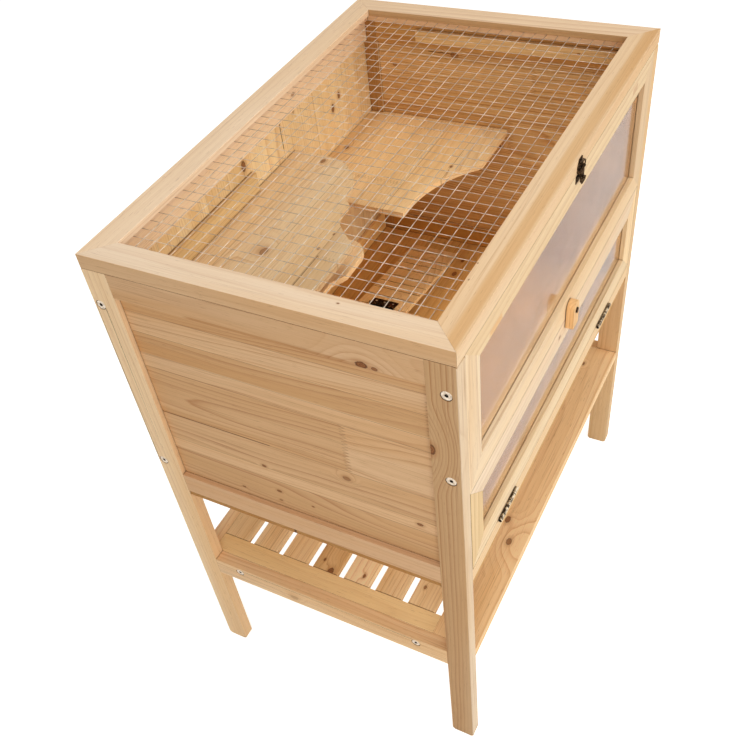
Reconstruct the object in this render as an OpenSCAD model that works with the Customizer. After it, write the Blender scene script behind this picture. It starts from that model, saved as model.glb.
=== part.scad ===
// Wooden small animal cage with a mesh lid, a clear front and a slatted shelf.
// Millimetres, Z up, front face towards -Y, feet on Z = 0.
// Every piece is drawn from the front left foot corner and then moved by place().

/* [Carcass] */
// Width over the legs
width = 790; // [640:1000]
// Depth over the legs
depth = 530; // [420:680]
// Height of the lid's top face
height = 934; // [800:1100]
// Leg thickness along X
leg_x = 22; // [18:28]
// Leg width along Y
leg_y = 40; // [32:50]
// Chamfer round the feet
foot_chamfer = 4; // [1:6]
// Rounding on top of the front legs
leg_top_round = 6; // [1:10]
// Height of the rails in the side and rear walls
wall_rail = 40; // [30:50]
// Thickness of the rear wall's rails
rear_rail_t = 20; // [16:26]
// Thickness of the glued wall boards
panel_t = 9; // [6:10]
// Depth of the wall boards behind the outer faces
panel_recess = 9; // [6:10]
// Underside of the cage floor
floor_under = 460; // [400:520]
// Thickness of the cage floor
floor_t = 12; // [8:16]
// Set back of the floor's edge
floor_inset = 2; // [1:4]

/* [Front] */
// Thickness of the window and door frames
frame_t = 20; // [16:24]
// Width of the upright frame strips
stile_w = 40; // [30:50]
// Width of the level frame strips
rail_w = 38; // [28:48]
// Width of the strip on top of the window
window_top_w = 35; // [28:44]
// Height of the seam between window and door
seam_z = 670; // [640:700]
// Lower edge of the door
door_z = 500; // [490:520]
// Gap round the door
door_gap = 1.6; // [1.6:0.1:2.4]
// Thickness of the clear sheets
pane_t = 3; // [2:4]
// Depth of the clear sheets behind the front
pane_recess = 8; // [6:9]
// Reach of the clear sheets into their grooves
pane_tongue = 8; // [5:12]
// Play of a sheet in its groove
pane_play = 0.3; // [0.1:0.1:0.6]

/* [Turn button] */
// Middle from the left side
button_at = 399.5; // [360:440]
// Reach above its screw
button_up = 15.5; // [13:18]
// Reach below its screw
button_down = 31; // [26:36]
// Width
button_w = 24; // [20:24]
// Thickness
button_t = 12; // [9:16]
// Rounding of its upper end
button_r = 11; // [6:11]
// Rounding of its lower end
button_low_r = 3; // [1:0.5:5]
// Washer behind it
washer_t = 1; // [0.6:0.1:1.6]
// Height of its screw above the seam
button_rise = 12.5; // [12.5:0.5:16]
// Diameter of its screw
button_screw_d = 4; // [3:0.5:5]
// Height of its screw's head
button_head_h = 2; // [1.5:0.1:2.5]

/* [Lid] */
// Thickness of the lid's strips
lid_t = 22; // [18:28]
// Width of the lid's strips
lid_w = 40; // [32:50]
// Gap under the lid
lid_gap = 0.4; // [0.3:0.1:1]
// Spacing of the wires in this coarse net
net_pitch = 38; // [36:50]
// Wire thickness
wire = 1.8; // [1.4:0.1:2.4]
// Width of the step that holds the net
net_step = 9; // [6:14]
// Depth of that step
net_step_z = 12; // [6:14]
// Overlap of crossing wires
weld = 0.5; // [0.3:0.1:0.8]

/* [Hinges] */
// Length of a door or lid hinge
hinge_len = 68; // [50:80]
// Diameter of a hinge barrel
barrel_d = 6; // [5:0.5:7]
// Thickness of a hinge leaf
leaf_t = 1.2; // [1:0.1:1.5]
// Width of a hinge leaf
leaf_w = 15; // [11:17]
// Diameter of a hinge pin
pin_d = 3; // [2.4:0.1:3.4]
// Gap between knuckles
knuckle_gap = 0.4; // [0.3:0.1:0.8]
// Left door hinge, middle from the left side
door_hinge_left = 152; // [110:190]
// Right door hinge, middle from the left side
door_hinge_right = 612; // [560:650]
// Lid hinges, middle from each side
lid_hinge_in = 150; // [100:200]

/* [Latch] */
// Middle of the latch from the left side
latch_at = 405; // [360:440]
// Width of the latch plate
latch_w = 22; // [20:30]
// Width of the latch plate's upper end
latch_top_w = 13; // [10:18]
// Height of the latch plate above its pin
latch_plate_h = 16; // [14:17]
// Thickness of the latch's sheet metal
latch_t = 1.5; // [1.2:0.1:2]
// Width of the swinging hasp
hasp_w = 13; // [12:16]
// Length of the hasp below its pin
hasp_len = 16; // [15:18]
// Diameter of the latch barrel
latch_barrel = 5; // [4:0.5:6]
// Diameter of the catch's pin
knob_d = 4; // [3:0.5:5]
// How far the catch's pin stands out
knob_out = 9; // [8:0.5:10]
// Width of the catch plate
catch_w = 28; // [20:32]

/* [Platforms] */
// Thickness of the platforms
platform_t = 10; // [8:14]
// Upper platform's top face below the carcass top
upper_drop = 107.6; // [90:0.1:130]
// Middle platform and ledge below the upper platform
middle_drop = 69; // [50:90]
// Near end of the middle platform
middle_x = 477; // [450:500]
// Front edge of the middle platform, right part
middle_front = 242; // [220:260]
// Front edge of the middle platform, left part
middle_back = 309; // [295:330]
// Radius of its hollow curve
middle_curve = 205; // [180:230]
// Depth of the upper platform at the left wall
upper_depth = 220.5; // [205:0.5:240]
// Where the upper platform's front edge starts to wave
upper_x = 289; // [270:300]
// Front edge of the ledge
ledge_front = 320; // [312:335]
// Right end of the ledge
ledge_x = 384; // [370:400]
// Corner radius of the ledge
ledge_r = 36; // [25:45]
// Size of the cleats under the platforms
cleat = 12; // [10:16]
// How far the long cleat stops short of the upper platform's end
cleat_short = 37; // [20:60]
// Thickness of the strip on the rear wall
wall_strip_t = 9; // [6:12]
// Height of that strip over the upper platform
wall_strip_h = 33; // [20:45]
// Length of that strip
wall_strip_len = 349; // [300:400]
// Thickness of the strip along the right wall
side_strip_t = 7; // [4:10]
// Height of that strip
side_strip_h = 21; // [14:28]
// Length of that strip
side_strip_len = 387; // [300:440]
// How far that strip's top lies under the carcass top
side_strip_drop = 9.6; // [6:14]

/* [Ramp] */
// Top of the landing at the ramp's upper end
landing_z = 509; // [500:520]
// Length of the ramp
ramp_len = 238; // [200:250]
// Free floor between the ramp's foot and the right wall
ramp_end = 42.4; // [30:0.1:60]
// Thickness of the ramp's foot
ramp_foot = 2.65; // [2:0.05:4]
// Front edge of the ramp
ramp_y = 329; // [320:340]
// Width of the ramp
ramp_w = 98; // [80:110]
// Thickness of the ramp
ramp_t = 8; // [6:9]
// Spacing of the ramp's grooves
groove_pitch = 26; // [20:32]
// Width and depth of a groove
groove_w = 2.4; // [1.5:0.1:3]
// Thickness of the landing board
landing_t = 10; // [8:14]
// Front edge of the landing
landing_front = 300; // [290:320]
// Width of the battens under the landing
batten_w = 20; // [14:30]
// Length of the ramp's hinge
ramp_hinge_len = 50; // [40:60]

/* [Shelf] */
// Top of the shelf
shelf_z = 276; // [220:320]
// Thickness of the shelf boards
shelf_t = 20; // [16:24]
// Height of the side stretchers
stretcher_h = 40; // [30:50]
// Depth of the front plank
front_plank = 75; // [60:90]
// Depth of the rear plank
rear_plank = 24; // [20:40]
// Width of the side planks
side_plank = 35; // [28:45]
// Number of slats
slat_count = 7; // [5:8]
// Thickness of the slats
slat_t = 11; // [8:16]
// Gap between slats
slat_gap = 13; // [8:0.5:18]

/* [Bolts] */
// Head diameter
bolt_head_d = 14; // [11:16]
// Head height
bolt_head_h = 3; // [2:0.5:4]
// How deep a head lies under the surface
bolt_sink = 1; // [0.4:0.1:1.5]
// Gap round a head
bolt_gap = 0.9; // [0.4:0.1:1]
// Shank diameter
bolt_d = 6; // [5:0.5:6.5]
// Reach of a shank behind the leg
bolt_reach = 34; // [26:36]
// Width of the hexagon socket
socket_w = 5; // [4:0.5:6]
// Middle of a front leg's bolts behind the front
bolt_front_y = 15; // [12:20]
// Upper bolt of a front leg, below the carcass top
bolt_front_high = 48.6; // [35:0.1:70]
// Lower bolt of a front leg, above the seam
bolt_front_low = 43; // [30:60]
// Upper bolt of a rear leg, below the carcass top
bolt_rear_high = 59; // [50:80]
// Lower bolt of a rear leg, above the floor
bolt_rear_low = 63; // [50:80]
// Shelf bolt from the front
bolt_shelf_front = 96; // [70:120]
// Shelf bolt from the rear
bolt_shelf_rear = 89; // [70:110]
// Shelf bolts below the shelf's top
bolt_shelf_drop = 13; // [10:15]

/* [Hidden] */
$fn = 48;
eps = 0.01;
fit = 0.2;

carcass_top = height - lid_t - lid_gap;
floor_top = floor_under + floor_t;
inner_x = leg_x;
inner_w = width - 2 * leg_x;
barrel_off = barrel_d / 2 + 0.2;
front_stand = washer_t + button_t + button_head_h;
rear_stand = barrel_off + barrel_d / 2;
front_y = -(depth + front_stand + rear_stand) / 2 + front_stand;

wall_in = panel_recess + panel_t;
rear_in = depth - rear_rail_t + (rear_rail_t - panel_t) / 2;
rear_rail_y = depth - rear_rail_t;
wall_low = floor_top + wall_rail;
wall_high = carcass_top - wall_rail;

window_z = seam_z;
window_h = carcass_top - window_z;
door_top = seam_z - door_gap;
door_h = door_top - door_z;
door_x = inner_x + door_gap;
door_w = inner_w - 2 * door_gap;
front_rail_top = door_z - door_gap;
hinge_z = door_z - door_gap / 2;

button_x = button_at;
button_z = seam_z + button_rise;

lid_z = carcass_top + lid_gap;
lid_hinge_z = lid_z;
net_x0 = lid_w - net_step + 1;
net_y0 = lid_w - net_step + 1;
net_w = width - 2 * net_x0;
net_d = depth - 2 * net_y0;
net_z = lid_z + 0.3;

latch_pin_z = lid_z + 3.5;
latch_out = latch_barrel / 2 + 0.3;

ramp_axis_z = landing_z + leaf_t + barrel_d / 2 - 0.8;
ramp_gap = 1;
ramp_sink = 0.4;
ramp_slope = asin((landing_z - ramp_sink - floor_top - ramp_foot) / ramp_len);
ramp_x = width - leg_x - ramp_end - ramp_len * cos(ramp_slope);

upper_z = carcass_top - upper_drop;
middle_z = upper_z - middle_drop;
upper_front = rear_in - upper_depth;
slat_space = depth - front_plank - rear_plank;
slat_pitch = slat_space / slat_count;

// wavy right edge of the upper platform, read off by eye, from the end of its straight front edge
upper_wave = [[0, 0], [18, 20], [34, 37], [54, 51], [76, 55], [93, 55],
              [106, 68], [145, 75], [173, 92], [194, 116], [205, 140], [208, 175]];
upper_edge = [for (p = upper_wave) [upper_x + p[0], upper_front + p[1]]];
upper_end = upper_edge[len(upper_edge) - 1];

module place() { translate([-width / 2, front_y, 0]) children(); }
module box(x, y, z, sx, sy, sz) { translate([x, y, z]) cube([sx, sy, sz]); }
module rod_x(x, y, z, len, d) { translate([x, y, z]) rotate([0, 90, 0]) cylinder(h = len, d = d); }
module rod_y(x, y, z, len, d) { translate([x, y, z]) rotate([-90, 0, 0]) cylinder(h = len, d = d); }
// an outline drawn in X and Z, extruded along +Y
module plate_xz(y, t) { translate([0, y + t, 0]) rotate([90, 0, 0]) linear_extrude(height = t) children(); }
// an outline drawn in Y and Z, extruded along +X
module plate_yz(x, t) { translate([x, 0, 0]) rotate([90, 0, 90]) linear_extrude(height = t) children(); }

// ---- bolts: [y, z] on the outer faces ----
bolt_inset = rear_rail_t / 2;
bolt_spots = [[bolt_front_y, carcass_top - bolt_front_high], [bolt_front_y, seam_z + bolt_front_low],
    [depth - bolt_inset, carcass_top - bolt_rear_high], [depth - bolt_inset, floor_top + bolt_rear_low],
    [bolt_shelf_front, shelf_z - bolt_shelf_drop], [depth - bolt_shelf_rear, shelf_z - bolt_shelf_drop]];

module bolt_cut() {
    for (p = bolt_spots) {
        rod_x(-1, p[0], p[1], 1 + bolt_head_h + bolt_sink, bolt_head_d + 2 * bolt_gap);
        rod_x(-1, p[0], p[1], leg_x + bolt_reach + 2, bolt_d + fit);
    }
}
module bolt_cuts() {
    bolt_cut();
    translate([width, 0, 0]) mirror([1, 0, 0]) bolt_cut();
}
module hexagon(w) {
    r = w / sqrt(3);
    polygon([for (i = [0:5]) [r * cos(60 * i), r * sin(60 * i)]]);
}
module bolt(p) {
    difference() {
        union() {
            rod_x(bolt_sink, p[0], p[1], bolt_head_h, bolt_head_d);
            rod_x(bolt_sink, p[0], p[1], leg_x + bolt_reach - bolt_sink, bolt_d);
        }
        translate([bolt_sink - 1, p[0], p[1]]) rotate([0, 90, 0])
            linear_extrude(height = 3.2) hexagon(socket_w);
    }
}
module bolt_set() { for (p = bolt_spots) bolt(p); }
module bolts_left() { color("silver") place() bolt_set(); }
module bolts_right() { color("silver") place() translate([width, 0, 0]) mirror([1, 0, 0]) bolt_set(); }

// ---- legs ----
module leg_front_outline() {
    c = foot_chamfer;
    r = leg_top_round;
    polygon(concat([[c, 0], [leg_y - c, 0], [leg_y, c], [leg_y, carcass_top], [r, carcass_top]],
        [for (a = [100:10:170]) [r + r * cos(a), carcass_top - r + r * sin(a)]],
        [[0, carcass_top - r], [0, c]]));
}
module leg_rear_outline() {
    c = foot_chamfer;
    translate([depth - leg_y, 0])
        polygon([[c, 0], [leg_y - c, 0], [leg_y, c], [leg_y, carcass_top], [0, carcass_top], [0, c]]);
}
module leg_front_left() {
    color("burlywood") place() difference() { plate_yz(0, leg_x) leg_front_outline(); bolt_cuts(); }
}
module leg_front_right() {
    color("burlywood") place() difference() {
        plate_yz(width - leg_x, leg_x) leg_front_outline(); bolt_cuts(); }
}
module leg_rear_left() {
    color("burlywood") place() difference() { plate_yz(0, leg_x) leg_rear_outline(); bolt_cuts(); }
}
module leg_rear_right() {
    color("burlywood") place() difference() {
        plate_yz(width - leg_x, leg_x) leg_rear_outline(); bolt_cuts(); }
}

// ---- side and rear walls ----
side_len = depth - 2 * leg_y;
module left_top_rail() { color("burlywood") place() box(0, leg_y, wall_high, leg_x, side_len, wall_rail); }
module left_bottom_rail() {
    color("burlywood") place() box(0, leg_y, floor_top, leg_x, side_len, wall_rail);
}
module left_panel() {
    color("tan") place() box(panel_recess, leg_y, wall_low, panel_t, side_len, wall_high - wall_low);
}
module right_top_rail() {
    color("burlywood") place() box(width - leg_x, leg_y, wall_high, leg_x, side_len, wall_rail);
}
module right_bottom_rail() {
    color("burlywood") place() box(width - leg_x, leg_y, floor_top, leg_x, side_len, wall_rail);
}
module right_panel() {
    color("tan") place()
        box(width - wall_in, leg_y, wall_low, panel_t, side_len, wall_high - wall_low);
}
module rear_top_rail() {
    color("burlywood") place() difference() {
        box(inner_x, rear_rail_y, wall_high, inner_w, rear_rail_t, wall_rail); bolt_cuts(); }
}
module rear_bottom_rail() {
    color("burlywood") place() difference() {
        box(inner_x, rear_rail_y, floor_top, inner_w, rear_rail_t, wall_rail); bolt_cuts(); }
}
module rear_panel() {
    color("tan") place() difference() {
        box(inner_x, rear_in, wall_low, inner_w, panel_t, wall_high - wall_low); bolt_cuts(); }
}
module floor_board() {
    color("tan") place() union() {
        box(floor_inset, leg_y, floor_under, width - 2 * floor_inset, side_len, floor_t);
        box(inner_x, floor_inset, floor_under, inner_w, depth - 2 * floor_inset, floor_t);
    }
}

// ---- front frames ----
module leaf_bed(at, z0) {
    box(at - hinge_len / 2 - fit, -1, z0, hinge_len + 2 * fit, leaf_w + 1 + fit, leaf_t);
}
sink = leaf_t + 0.1 - door_gap / 2;
module front_bottom_rail() {
    color("burlywood") place() difference() {
        box(inner_x, 0, floor_top, inner_w, frame_t, front_rail_top - floor_top);
        for (at = [door_hinge_left, door_hinge_right]) leaf_bed(at, front_rail_top - sink);
    }
}
// groove for a sheet inside the frame x, z, w, h with strips sw, bw, tw
module pane_groove(x, z, w, h, sw, bw, tw) {
    g = pane_tongue + pane_play;
    box(x + sw - g, pane_recess - pane_play, z + bw - g,
        w - 2 * sw + 2 * g, pane_t + 2 * pane_play, h - bw - tw + 2 * g);
}
module pane(x, z, w, h, sw, bw, tw) {
    g = pane_tongue;
    box(x + sw - g, pane_recess, z + bw - g, w - 2 * sw + 2 * g, pane_t, h - bw - tw + 2 * g);
}
module top_strip(x, z, w, h, sw, tw) {
    polygon([[x, z + h], [x + w, z + h], [x + w - sw, z + h - tw], [x + sw, z + h - tw]]);
}
module bottom_strip(x, z, w, sw, bw) {
    polygon([[x, z], [x + w, z], [x + w - sw, z + bw], [x + sw, z + bw]]);
}
module left_strip(x, z, h, sw, bw, tw) {
    polygon([[x, z], [x + sw, z + bw], [x + sw, z + h - tw], [x, z + h]]);
}
module window_cuts() {
    pane_groove(inner_x, window_z, inner_w, window_h, stile_w, rail_w, window_top_w);
    bolt_cuts();
    rod_y(button_x, -1, button_z, frame_t, button_screw_d + fit);
    catch_cuts();
}
module window_top_rail() {
    color("wheat") place() difference() {
        plate_xz(0, frame_t) top_strip(inner_x, window_z, inner_w, window_h, stile_w, window_top_w);
        window_cuts();
    }
}
module window_bottom_rail() {
    color("wheat") place() difference() {
        plate_xz(0, frame_t) bottom_strip(inner_x, window_z, inner_w, stile_w, rail_w);
        window_cuts();
    }
}
module window_left_stile() {
    color("wheat") place() difference() {
        plate_xz(0, frame_t) left_strip(inner_x, window_z, window_h, stile_w, rail_w, window_top_w);
        window_cuts();
    }
}
module window_right_stile() {
    color("wheat") place() difference() {
        translate([width, 0, 0]) mirror([1, 0, 0]) plate_xz(0, frame_t)
            left_strip(inner_x, window_z, window_h, stile_w, rail_w, window_top_w);
        window_cuts();
    }
}
module window_pane() {
    color([0.8, 0.85, 0.85, 0.4]) place()
        pane(inner_x, window_z, inner_w, window_h, stile_w, rail_w, window_top_w);
}
module door_cuts() {
    pane_groove(door_x, door_z, door_w, door_h, stile_w, rail_w, rail_w);
    for (at = [door_hinge_left, door_hinge_right]) leaf_bed(at, door_z - leaf_t + sink);
}
module door_top_rail() {
    color("wheat") place() difference() {
        plate_xz(0, frame_t) top_strip(door_x, door_z, door_w, door_h, stile_w, rail_w); door_cuts(); }
}
module door_bottom_rail() {
    color("wheat") place() difference() {
        plate_xz(0, frame_t) bottom_strip(door_x, door_z, door_w, stile_w, rail_w); door_cuts(); }
}
module door_left_stile() {
    color("wheat") place() difference() {
        plate_xz(0, frame_t) left_strip(door_x, door_z, door_h, stile_w, rail_w, rail_w); door_cuts(); }
}
module door_right_stile() {
    color("wheat") place() difference() {
        translate([width, 0, 0]) mirror([1, 0, 0]) plate_xz(0, frame_t)
            left_strip(door_x, door_z, door_h, stile_w, rail_w, rail_w);
        door_cuts();
    }
}
module door_pane() {
    color([0.8, 0.85, 0.85, 0.4]) place() pane(door_x, door_z, door_w, door_h, stile_w, rail_w, rail_w);
}

// ---- turn button ----
module turn_button() {
    w = button_w / 2;
    r = button_r;
    q = button_low_r;
    color("burlywood") place() translate([button_x, -washer_t - button_t, button_z]) difference() {
        union() {
            box(-w, 0, -button_down + q, button_w, button_t, button_down - q + button_up - r);
            box(-w + r, 0, 0, button_w - 2 * r, button_t, button_up);
            box(-w + q, 0, -button_down, button_w - 2 * q, button_t, 2 * q);
            for (x = [-w + r, w - r]) rod_y(x, 0, button_up - r, button_t, 2 * r);
            for (x = [-w + q, w - q]) rod_y(x, 0, -button_down + q, button_t, 2 * q);
        }
        rod_y(0, -1, 0, button_t + 2, button_screw_d + 2 * fit);
    }
}
module turn_button_screw() {
    color("dimgray") place() translate([button_x, 0, button_z]) {
        rod_y(0, -washer_t - button_t - fit, 0, washer_t + button_t + fit + frame_t - 4, button_screw_d);
        rod_y(0, -washer_t - button_t - button_head_h, 0, button_head_h - fit, 2.2 * button_screw_d);
        rod_y(0, -washer_t + fit, 0, washer_t - fit, 2.4 * button_screw_d);
    }
}

// ---- hinge parts: barrel along X, leaf towards +Y at height z, first knuckle set ----
knuckle = (hinge_len - 4 * knuckle_gap) / 5;
module knuckles(at, y, z, set) {
    for (i = (set == 0 ? [0, 2, 4] : [1, 3]))
        rod_x(at - hinge_len / 2 + i * (knuckle + knuckle_gap), y, z, knuckle, barrel_d);
}
module knuckle_webs(at, y, y1, z0, set) {
    for (i = (set == 0 ? [0, 2, 4] : [1, 3]))
        box(at - hinge_len / 2 + i * (knuckle + knuckle_gap), y, z0, knuckle, y1 - y, leaf_t);
}
module pin_hole(at, y, z) { rod_x(at - hinge_len, y, z, 2 * hinge_len, pin_d + fit); }
module door_leaf(at, z0, set) {
    difference() {
        union() {
            knuckles(at, -barrel_off, hinge_z, set);
            knuckle_webs(at, -barrel_off, 1, z0, set);
            box(at - hinge_len / 2, 0.3, z0, hinge_len, leaf_w - 0.3, leaf_t);
        }
        pin_hole(at, -barrel_off, hinge_z);
    }
}
module door_hinge_leaves() {
    color("dimgray") place() for (at = [door_hinge_left, door_hinge_right])
        door_leaf(at, door_z - leaf_t + sink, 1);
}
module door_hinge_fixed_leaves() {
    color("dimgray") place() for (at = [door_hinge_left, door_hinge_right])
        door_leaf(at, front_rail_top - sink, 0);
}
module door_hinge_pins() {
    color("gray") place() for (at = [door_hinge_left, door_hinge_right])
        rod_x(at - hinge_len / 2, -barrel_off, hinge_z, hinge_len, pin_d);
}

// ---- lid ----
module lid_cuts() {
    box(net_x0 - 1, net_y0 - 1, lid_z - 1, net_w + 2, net_d + 2, net_step_z + 1);
}
module lid_front_rail() {
    color("wheat") place() difference() {
        translate([0, 0, lid_z]) linear_extrude(height = lid_t)
            polygon([[0, 0], [width, 0], [width - lid_w, lid_w], [lid_w, lid_w]]);
        lid_cuts();
    }
}
module lid_rear_rail() {
    color("wheat") place() difference() {
        translate([0, 0, lid_z]) linear_extrude(height = lid_t)
            polygon([[0, depth], [lid_w, depth - lid_w], [width - lid_w, depth - lid_w], [width, depth]]);
        lid_cuts();
    }
}
module lid_left_rail() {
    color("wheat") place() difference() {
        translate([0, 0, lid_z]) linear_extrude(height = lid_t)
            polygon([[0, 0], [lid_w, lid_w], [lid_w, depth - lid_w], [0, depth]]);
        lid_cuts();
    }
}
module lid_right_rail() {
    color("wheat") place() difference() {
        translate([width, 0, lid_z]) mirror([1, 0, 0]) linear_extrude(height = lid_t)
            polygon([[0, 0], [lid_w, lid_w], [lid_w, depth - lid_w], [0, depth]]);
        lid_cuts();
    }
}
net_nx = floor(net_w / net_pitch);
net_ny = floor(net_d / net_pitch);
net_zx = lid_z + net_step_z - wire - 0.2;
module lid_net() {
    mx = (net_w - net_nx * net_pitch) / 2;
    my = (net_d - net_ny * net_pitch) / 2;
    color("gainsboro") place() union() {
        for (i = [0:net_ny])
            box(net_x0, net_y0 + my + i * net_pitch - wire / 2, net_zx, net_w, wire, wire);
        for (i = [0:net_nx])
            box(net_x0 + mx + i * net_pitch - wire / 2, net_y0, net_zx - wire + weld, wire, net_d, wire);
    }
}
module lid_hinge_half(at, up, set) {
    y = depth + barrel_off;
    r = barrel_d / 2;
    z0 = up ? lid_hinge_z + r : lid_hinge_z - r - leaf_w;
    difference() {
        union() {
            knuckles(at, y, lid_hinge_z, set);
            box(at - hinge_len / 2, depth, z0, hinge_len, leaf_t, leaf_w);
            for (i = (set == 0 ? [0, 2, 4] : [1, 3]))
                box(at - hinge_len / 2 + i * (knuckle + knuckle_gap), depth,
                    up ? lid_hinge_z : lid_hinge_z - r - eps, knuckle, leaf_t, r + eps);
        }
        pin_hole(at, y, lid_hinge_z);
    }
}
module lid_hinge_leaves() {
    color("dimgray") place() for (at = [lid_hinge_in, width - lid_hinge_in]) lid_hinge_half(at, true, 1);
}
module lid_hinge_fixed_leaves() {
    color("dimgray") place() for (at = [lid_hinge_in, width - lid_hinge_in]) lid_hinge_half(at, false, 0);
}
module lid_hinge_pins() {
    color("gray") place() for (at = [lid_hinge_in, width - lid_hinge_in])
        rod_x(at - hinge_len / 2, depth + barrel_off, lid_hinge_z, hinge_len, pin_d);
}

// ---- latch ----
latch_pin_d = 2;
ear = (latch_w - hasp_w) / 2 - 0.4;
hasp_y = -latch_out - latch_barrel / 2;
catch_z = latch_pin_z - 10.5;
hasp_hole_d = knob_d + 4.4;
module latch_pin_hole() {
    rod_x(latch_at - latch_w, -latch_out, latch_pin_z, 2 * latch_w, latch_pin_d + fit);
}
module latch_plate() {
    color("dimgray") place() difference() {
        union() {
            plate_xz(-latch_t, latch_t) translate([latch_at, latch_pin_z]) polygon([
                [-latch_w / 2, 3], [latch_w / 2, 3], [latch_w / 2, 8], [latch_top_w / 2, latch_plate_h - 3],
                [latch_top_w / 2, latch_plate_h], [-latch_top_w / 2, latch_plate_h],
                [-latch_top_w / 2, latch_plate_h - 3], [-latch_w / 2, 8]]);
            for (x = [latch_at - latch_w / 2, latch_at + latch_w / 2 - ear]) {
                rod_x(x, -latch_out, latch_pin_z, ear, latch_barrel);
                box(x, -latch_t, latch_pin_z, ear, latch_t, 3.5);
            }
        }
        latch_pin_hole();
    }
}
module latch_pin() {
    color("gray") place() rod_x(latch_at - latch_w / 2, -latch_out, latch_pin_z, latch_w, latch_pin_d);
}
module catch_cuts() { rod_y(latch_at, -1, catch_z, 9, 2.4 + fit); }
module latch_hasp() {
    o = -latch_barrel / 2 + 0.3;
    i = o + latch_t;
    h = hasp_len;
    color("dimgray") place() difference() {
        translate([0, -latch_out, latch_pin_z]) union() {
            rod_x(latch_at - hasp_w / 2, 0, 0, hasp_w, latch_barrel);
            plate_yz(latch_at - hasp_w / 2, hasp_w)
                polygon([[o, 0], [i, 0], [i, -h], [o - 1.4, -h - 2.8], [o - 2.4, -h - 1.8], [o, -h + 0.6]]);
        }
        latch_pin_hole();
        rod_y(latch_at, hasp_y - 5, catch_z, latch_t + 5.5, hasp_hole_d);
    }
}
module latch_catch() {
    color("dimgray") place() union() {
        box(latch_at - catch_w / 2, -1, catch_z - 5.5, catch_w, 1, 11);
        rod_y(latch_at, -knob_out, catch_z, knob_out, knob_d);
        rod_y(latch_at, -0.5, catch_z, 8, 2.4);
    }
}

// ---- platforms ----
// clears the rear legs, which stand 4 mm further in than the wall boards
module corner_cuts() {
    for (x = [-1, width - leg_x - 0.3])
        box(x, depth - leg_y - 0.3, floor_top, leg_x + 1.3, leg_y, carcass_top - floor_top);
}
function mix(a, b, t) = a + (b - a) * t;
// smooth curve through hand-set points
function bend(p, i, t) =
    let (n = len(p) - 1, a = p[max(i - 1, 0)], b = p[i], c = p[min(i + 1, n)], d = p[min(i + 2, n)])
    0.5 * ((2 * b) + (c - a) * t + (2 * a - 5 * b + 4 * c - d) * t * t
        + (3 * b - a - 3 * c + d) * t * t * t);
function smooth(p, k) = [for (i = [0:len(p) - 2], j = [0:k - 1]) bend(p, i, j / k)];
module upper_platform() {
    e = smooth(upper_edge, 4);
    color("tan") place() difference() {
        translate([0, 0, upper_z - platform_t]) linear_extrude(height = platform_t)
            polygon(concat([[wall_in, upper_front]], e,
                [upper_end, [upper_end[0], rear_in], [wall_in, rear_in]]));
        corner_cuts();
    }
}
module rear_wall_strip() {
    color("tan") place()
        box(inner_x, rear_in - wall_strip_t, upper_z, wall_strip_len, wall_strip_t, wall_strip_h);
}
module right_wall_strip() {
    color("tan") place()
        box(width - leg_x - side_strip_t, frame_t + 2, carcass_top - side_strip_drop - side_strip_h,
            side_strip_t, side_strip_len, side_strip_h);
}
module middle_platform() {
    // a level edge, a hollow curve, a small rounded nose and a level edge again
    r = middle_curve;
    cx = middle_x + 24;
    cy = middle_back - r;
    q = 18;
    a1 = asin((middle_front + q - cy) / (r + q));
    nx = cx + (r + q) * cos(a1);
    arc = [for (i = [0:20]) let (a = mix(90, a1, i / 20)) [cx + r * cos(a), cy + r * sin(a)]];
    nose = [for (i = [1:6]) let (a = mix(a1 + 180, 270, i / 6))
        [nx + q * cos(a), middle_front + q + q * sin(a)]];
    color("tan") place() difference() {
        translate([0, 0, middle_z - platform_t]) linear_extrude(height = platform_t)
            polygon(concat([[middle_x, middle_back]], arc, nose,
                [[width - wall_in, middle_front], [width - wall_in, rear_in], [middle_x, rear_in]]));
        corner_cuts();
    }
}
module ledge() {
    r = ledge_r;
    color("tan") place() difference() {
        translate([0, 0, middle_z - platform_t]) linear_extrude(height = platform_t)
            polygon(concat([[wall_in, ledge_front + 14], [ledge_x - 3.1 * r, ledge_front + 14],
                [ledge_x - 2.9 * r, ledge_front + 12], [ledge_x - 2.6 * r, ledge_front + 4],
                [ledge_x - 2.3 * r, ledge_front]],
                [for (a = [270:10:360]) [ledge_x - r + r * cos(a), ledge_front + r + r * sin(a)]],
                [[ledge_x, rear_in], [wall_in, rear_in]]));
        corner_cuts();
    }
}
module cleat_pair(x, w, y, side_x, z) {
    box(x, rear_in - cleat, z - platform_t - cleat, w, cleat, cleat);
    box(side_x, y, z - platform_t - cleat, cleat, rear_in - cleat - y, cleat);
}
module platform_cleats() {
    color("tan") place() difference() {
        union() {
            cleat_pair(wall_in, upper_end[0] - cleat_short - wall_in, upper_front + 10, wall_in, upper_z);
            cleat_pair(wall_in, ledge_x - 20 - wall_in, ledge_front + 30, wall_in, middle_z);
            cleat_pair(middle_x + 15, width - wall_in - middle_x - 15, middle_front + 10,
                width - wall_in - cleat, middle_z);
        }
        corner_cuts();
    }
}

// ---- landing and ramp ----
landing_end = ramp_x - ramp_gap / 2;
module landing() {
    color("tan") place() box(inner_x, landing_front, landing_z - landing_t, landing_end - inner_x,
        rear_rail_y - landing_front, landing_t);
}
module landing_battens() {
    h = landing_z - landing_t - floor_top;
    color("tan") place() for (x = [inner_x, landing_end - batten_w - 2])
        box(x, landing_front, floor_top, batten_w, rear_rail_y - landing_front, h);
}
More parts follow.
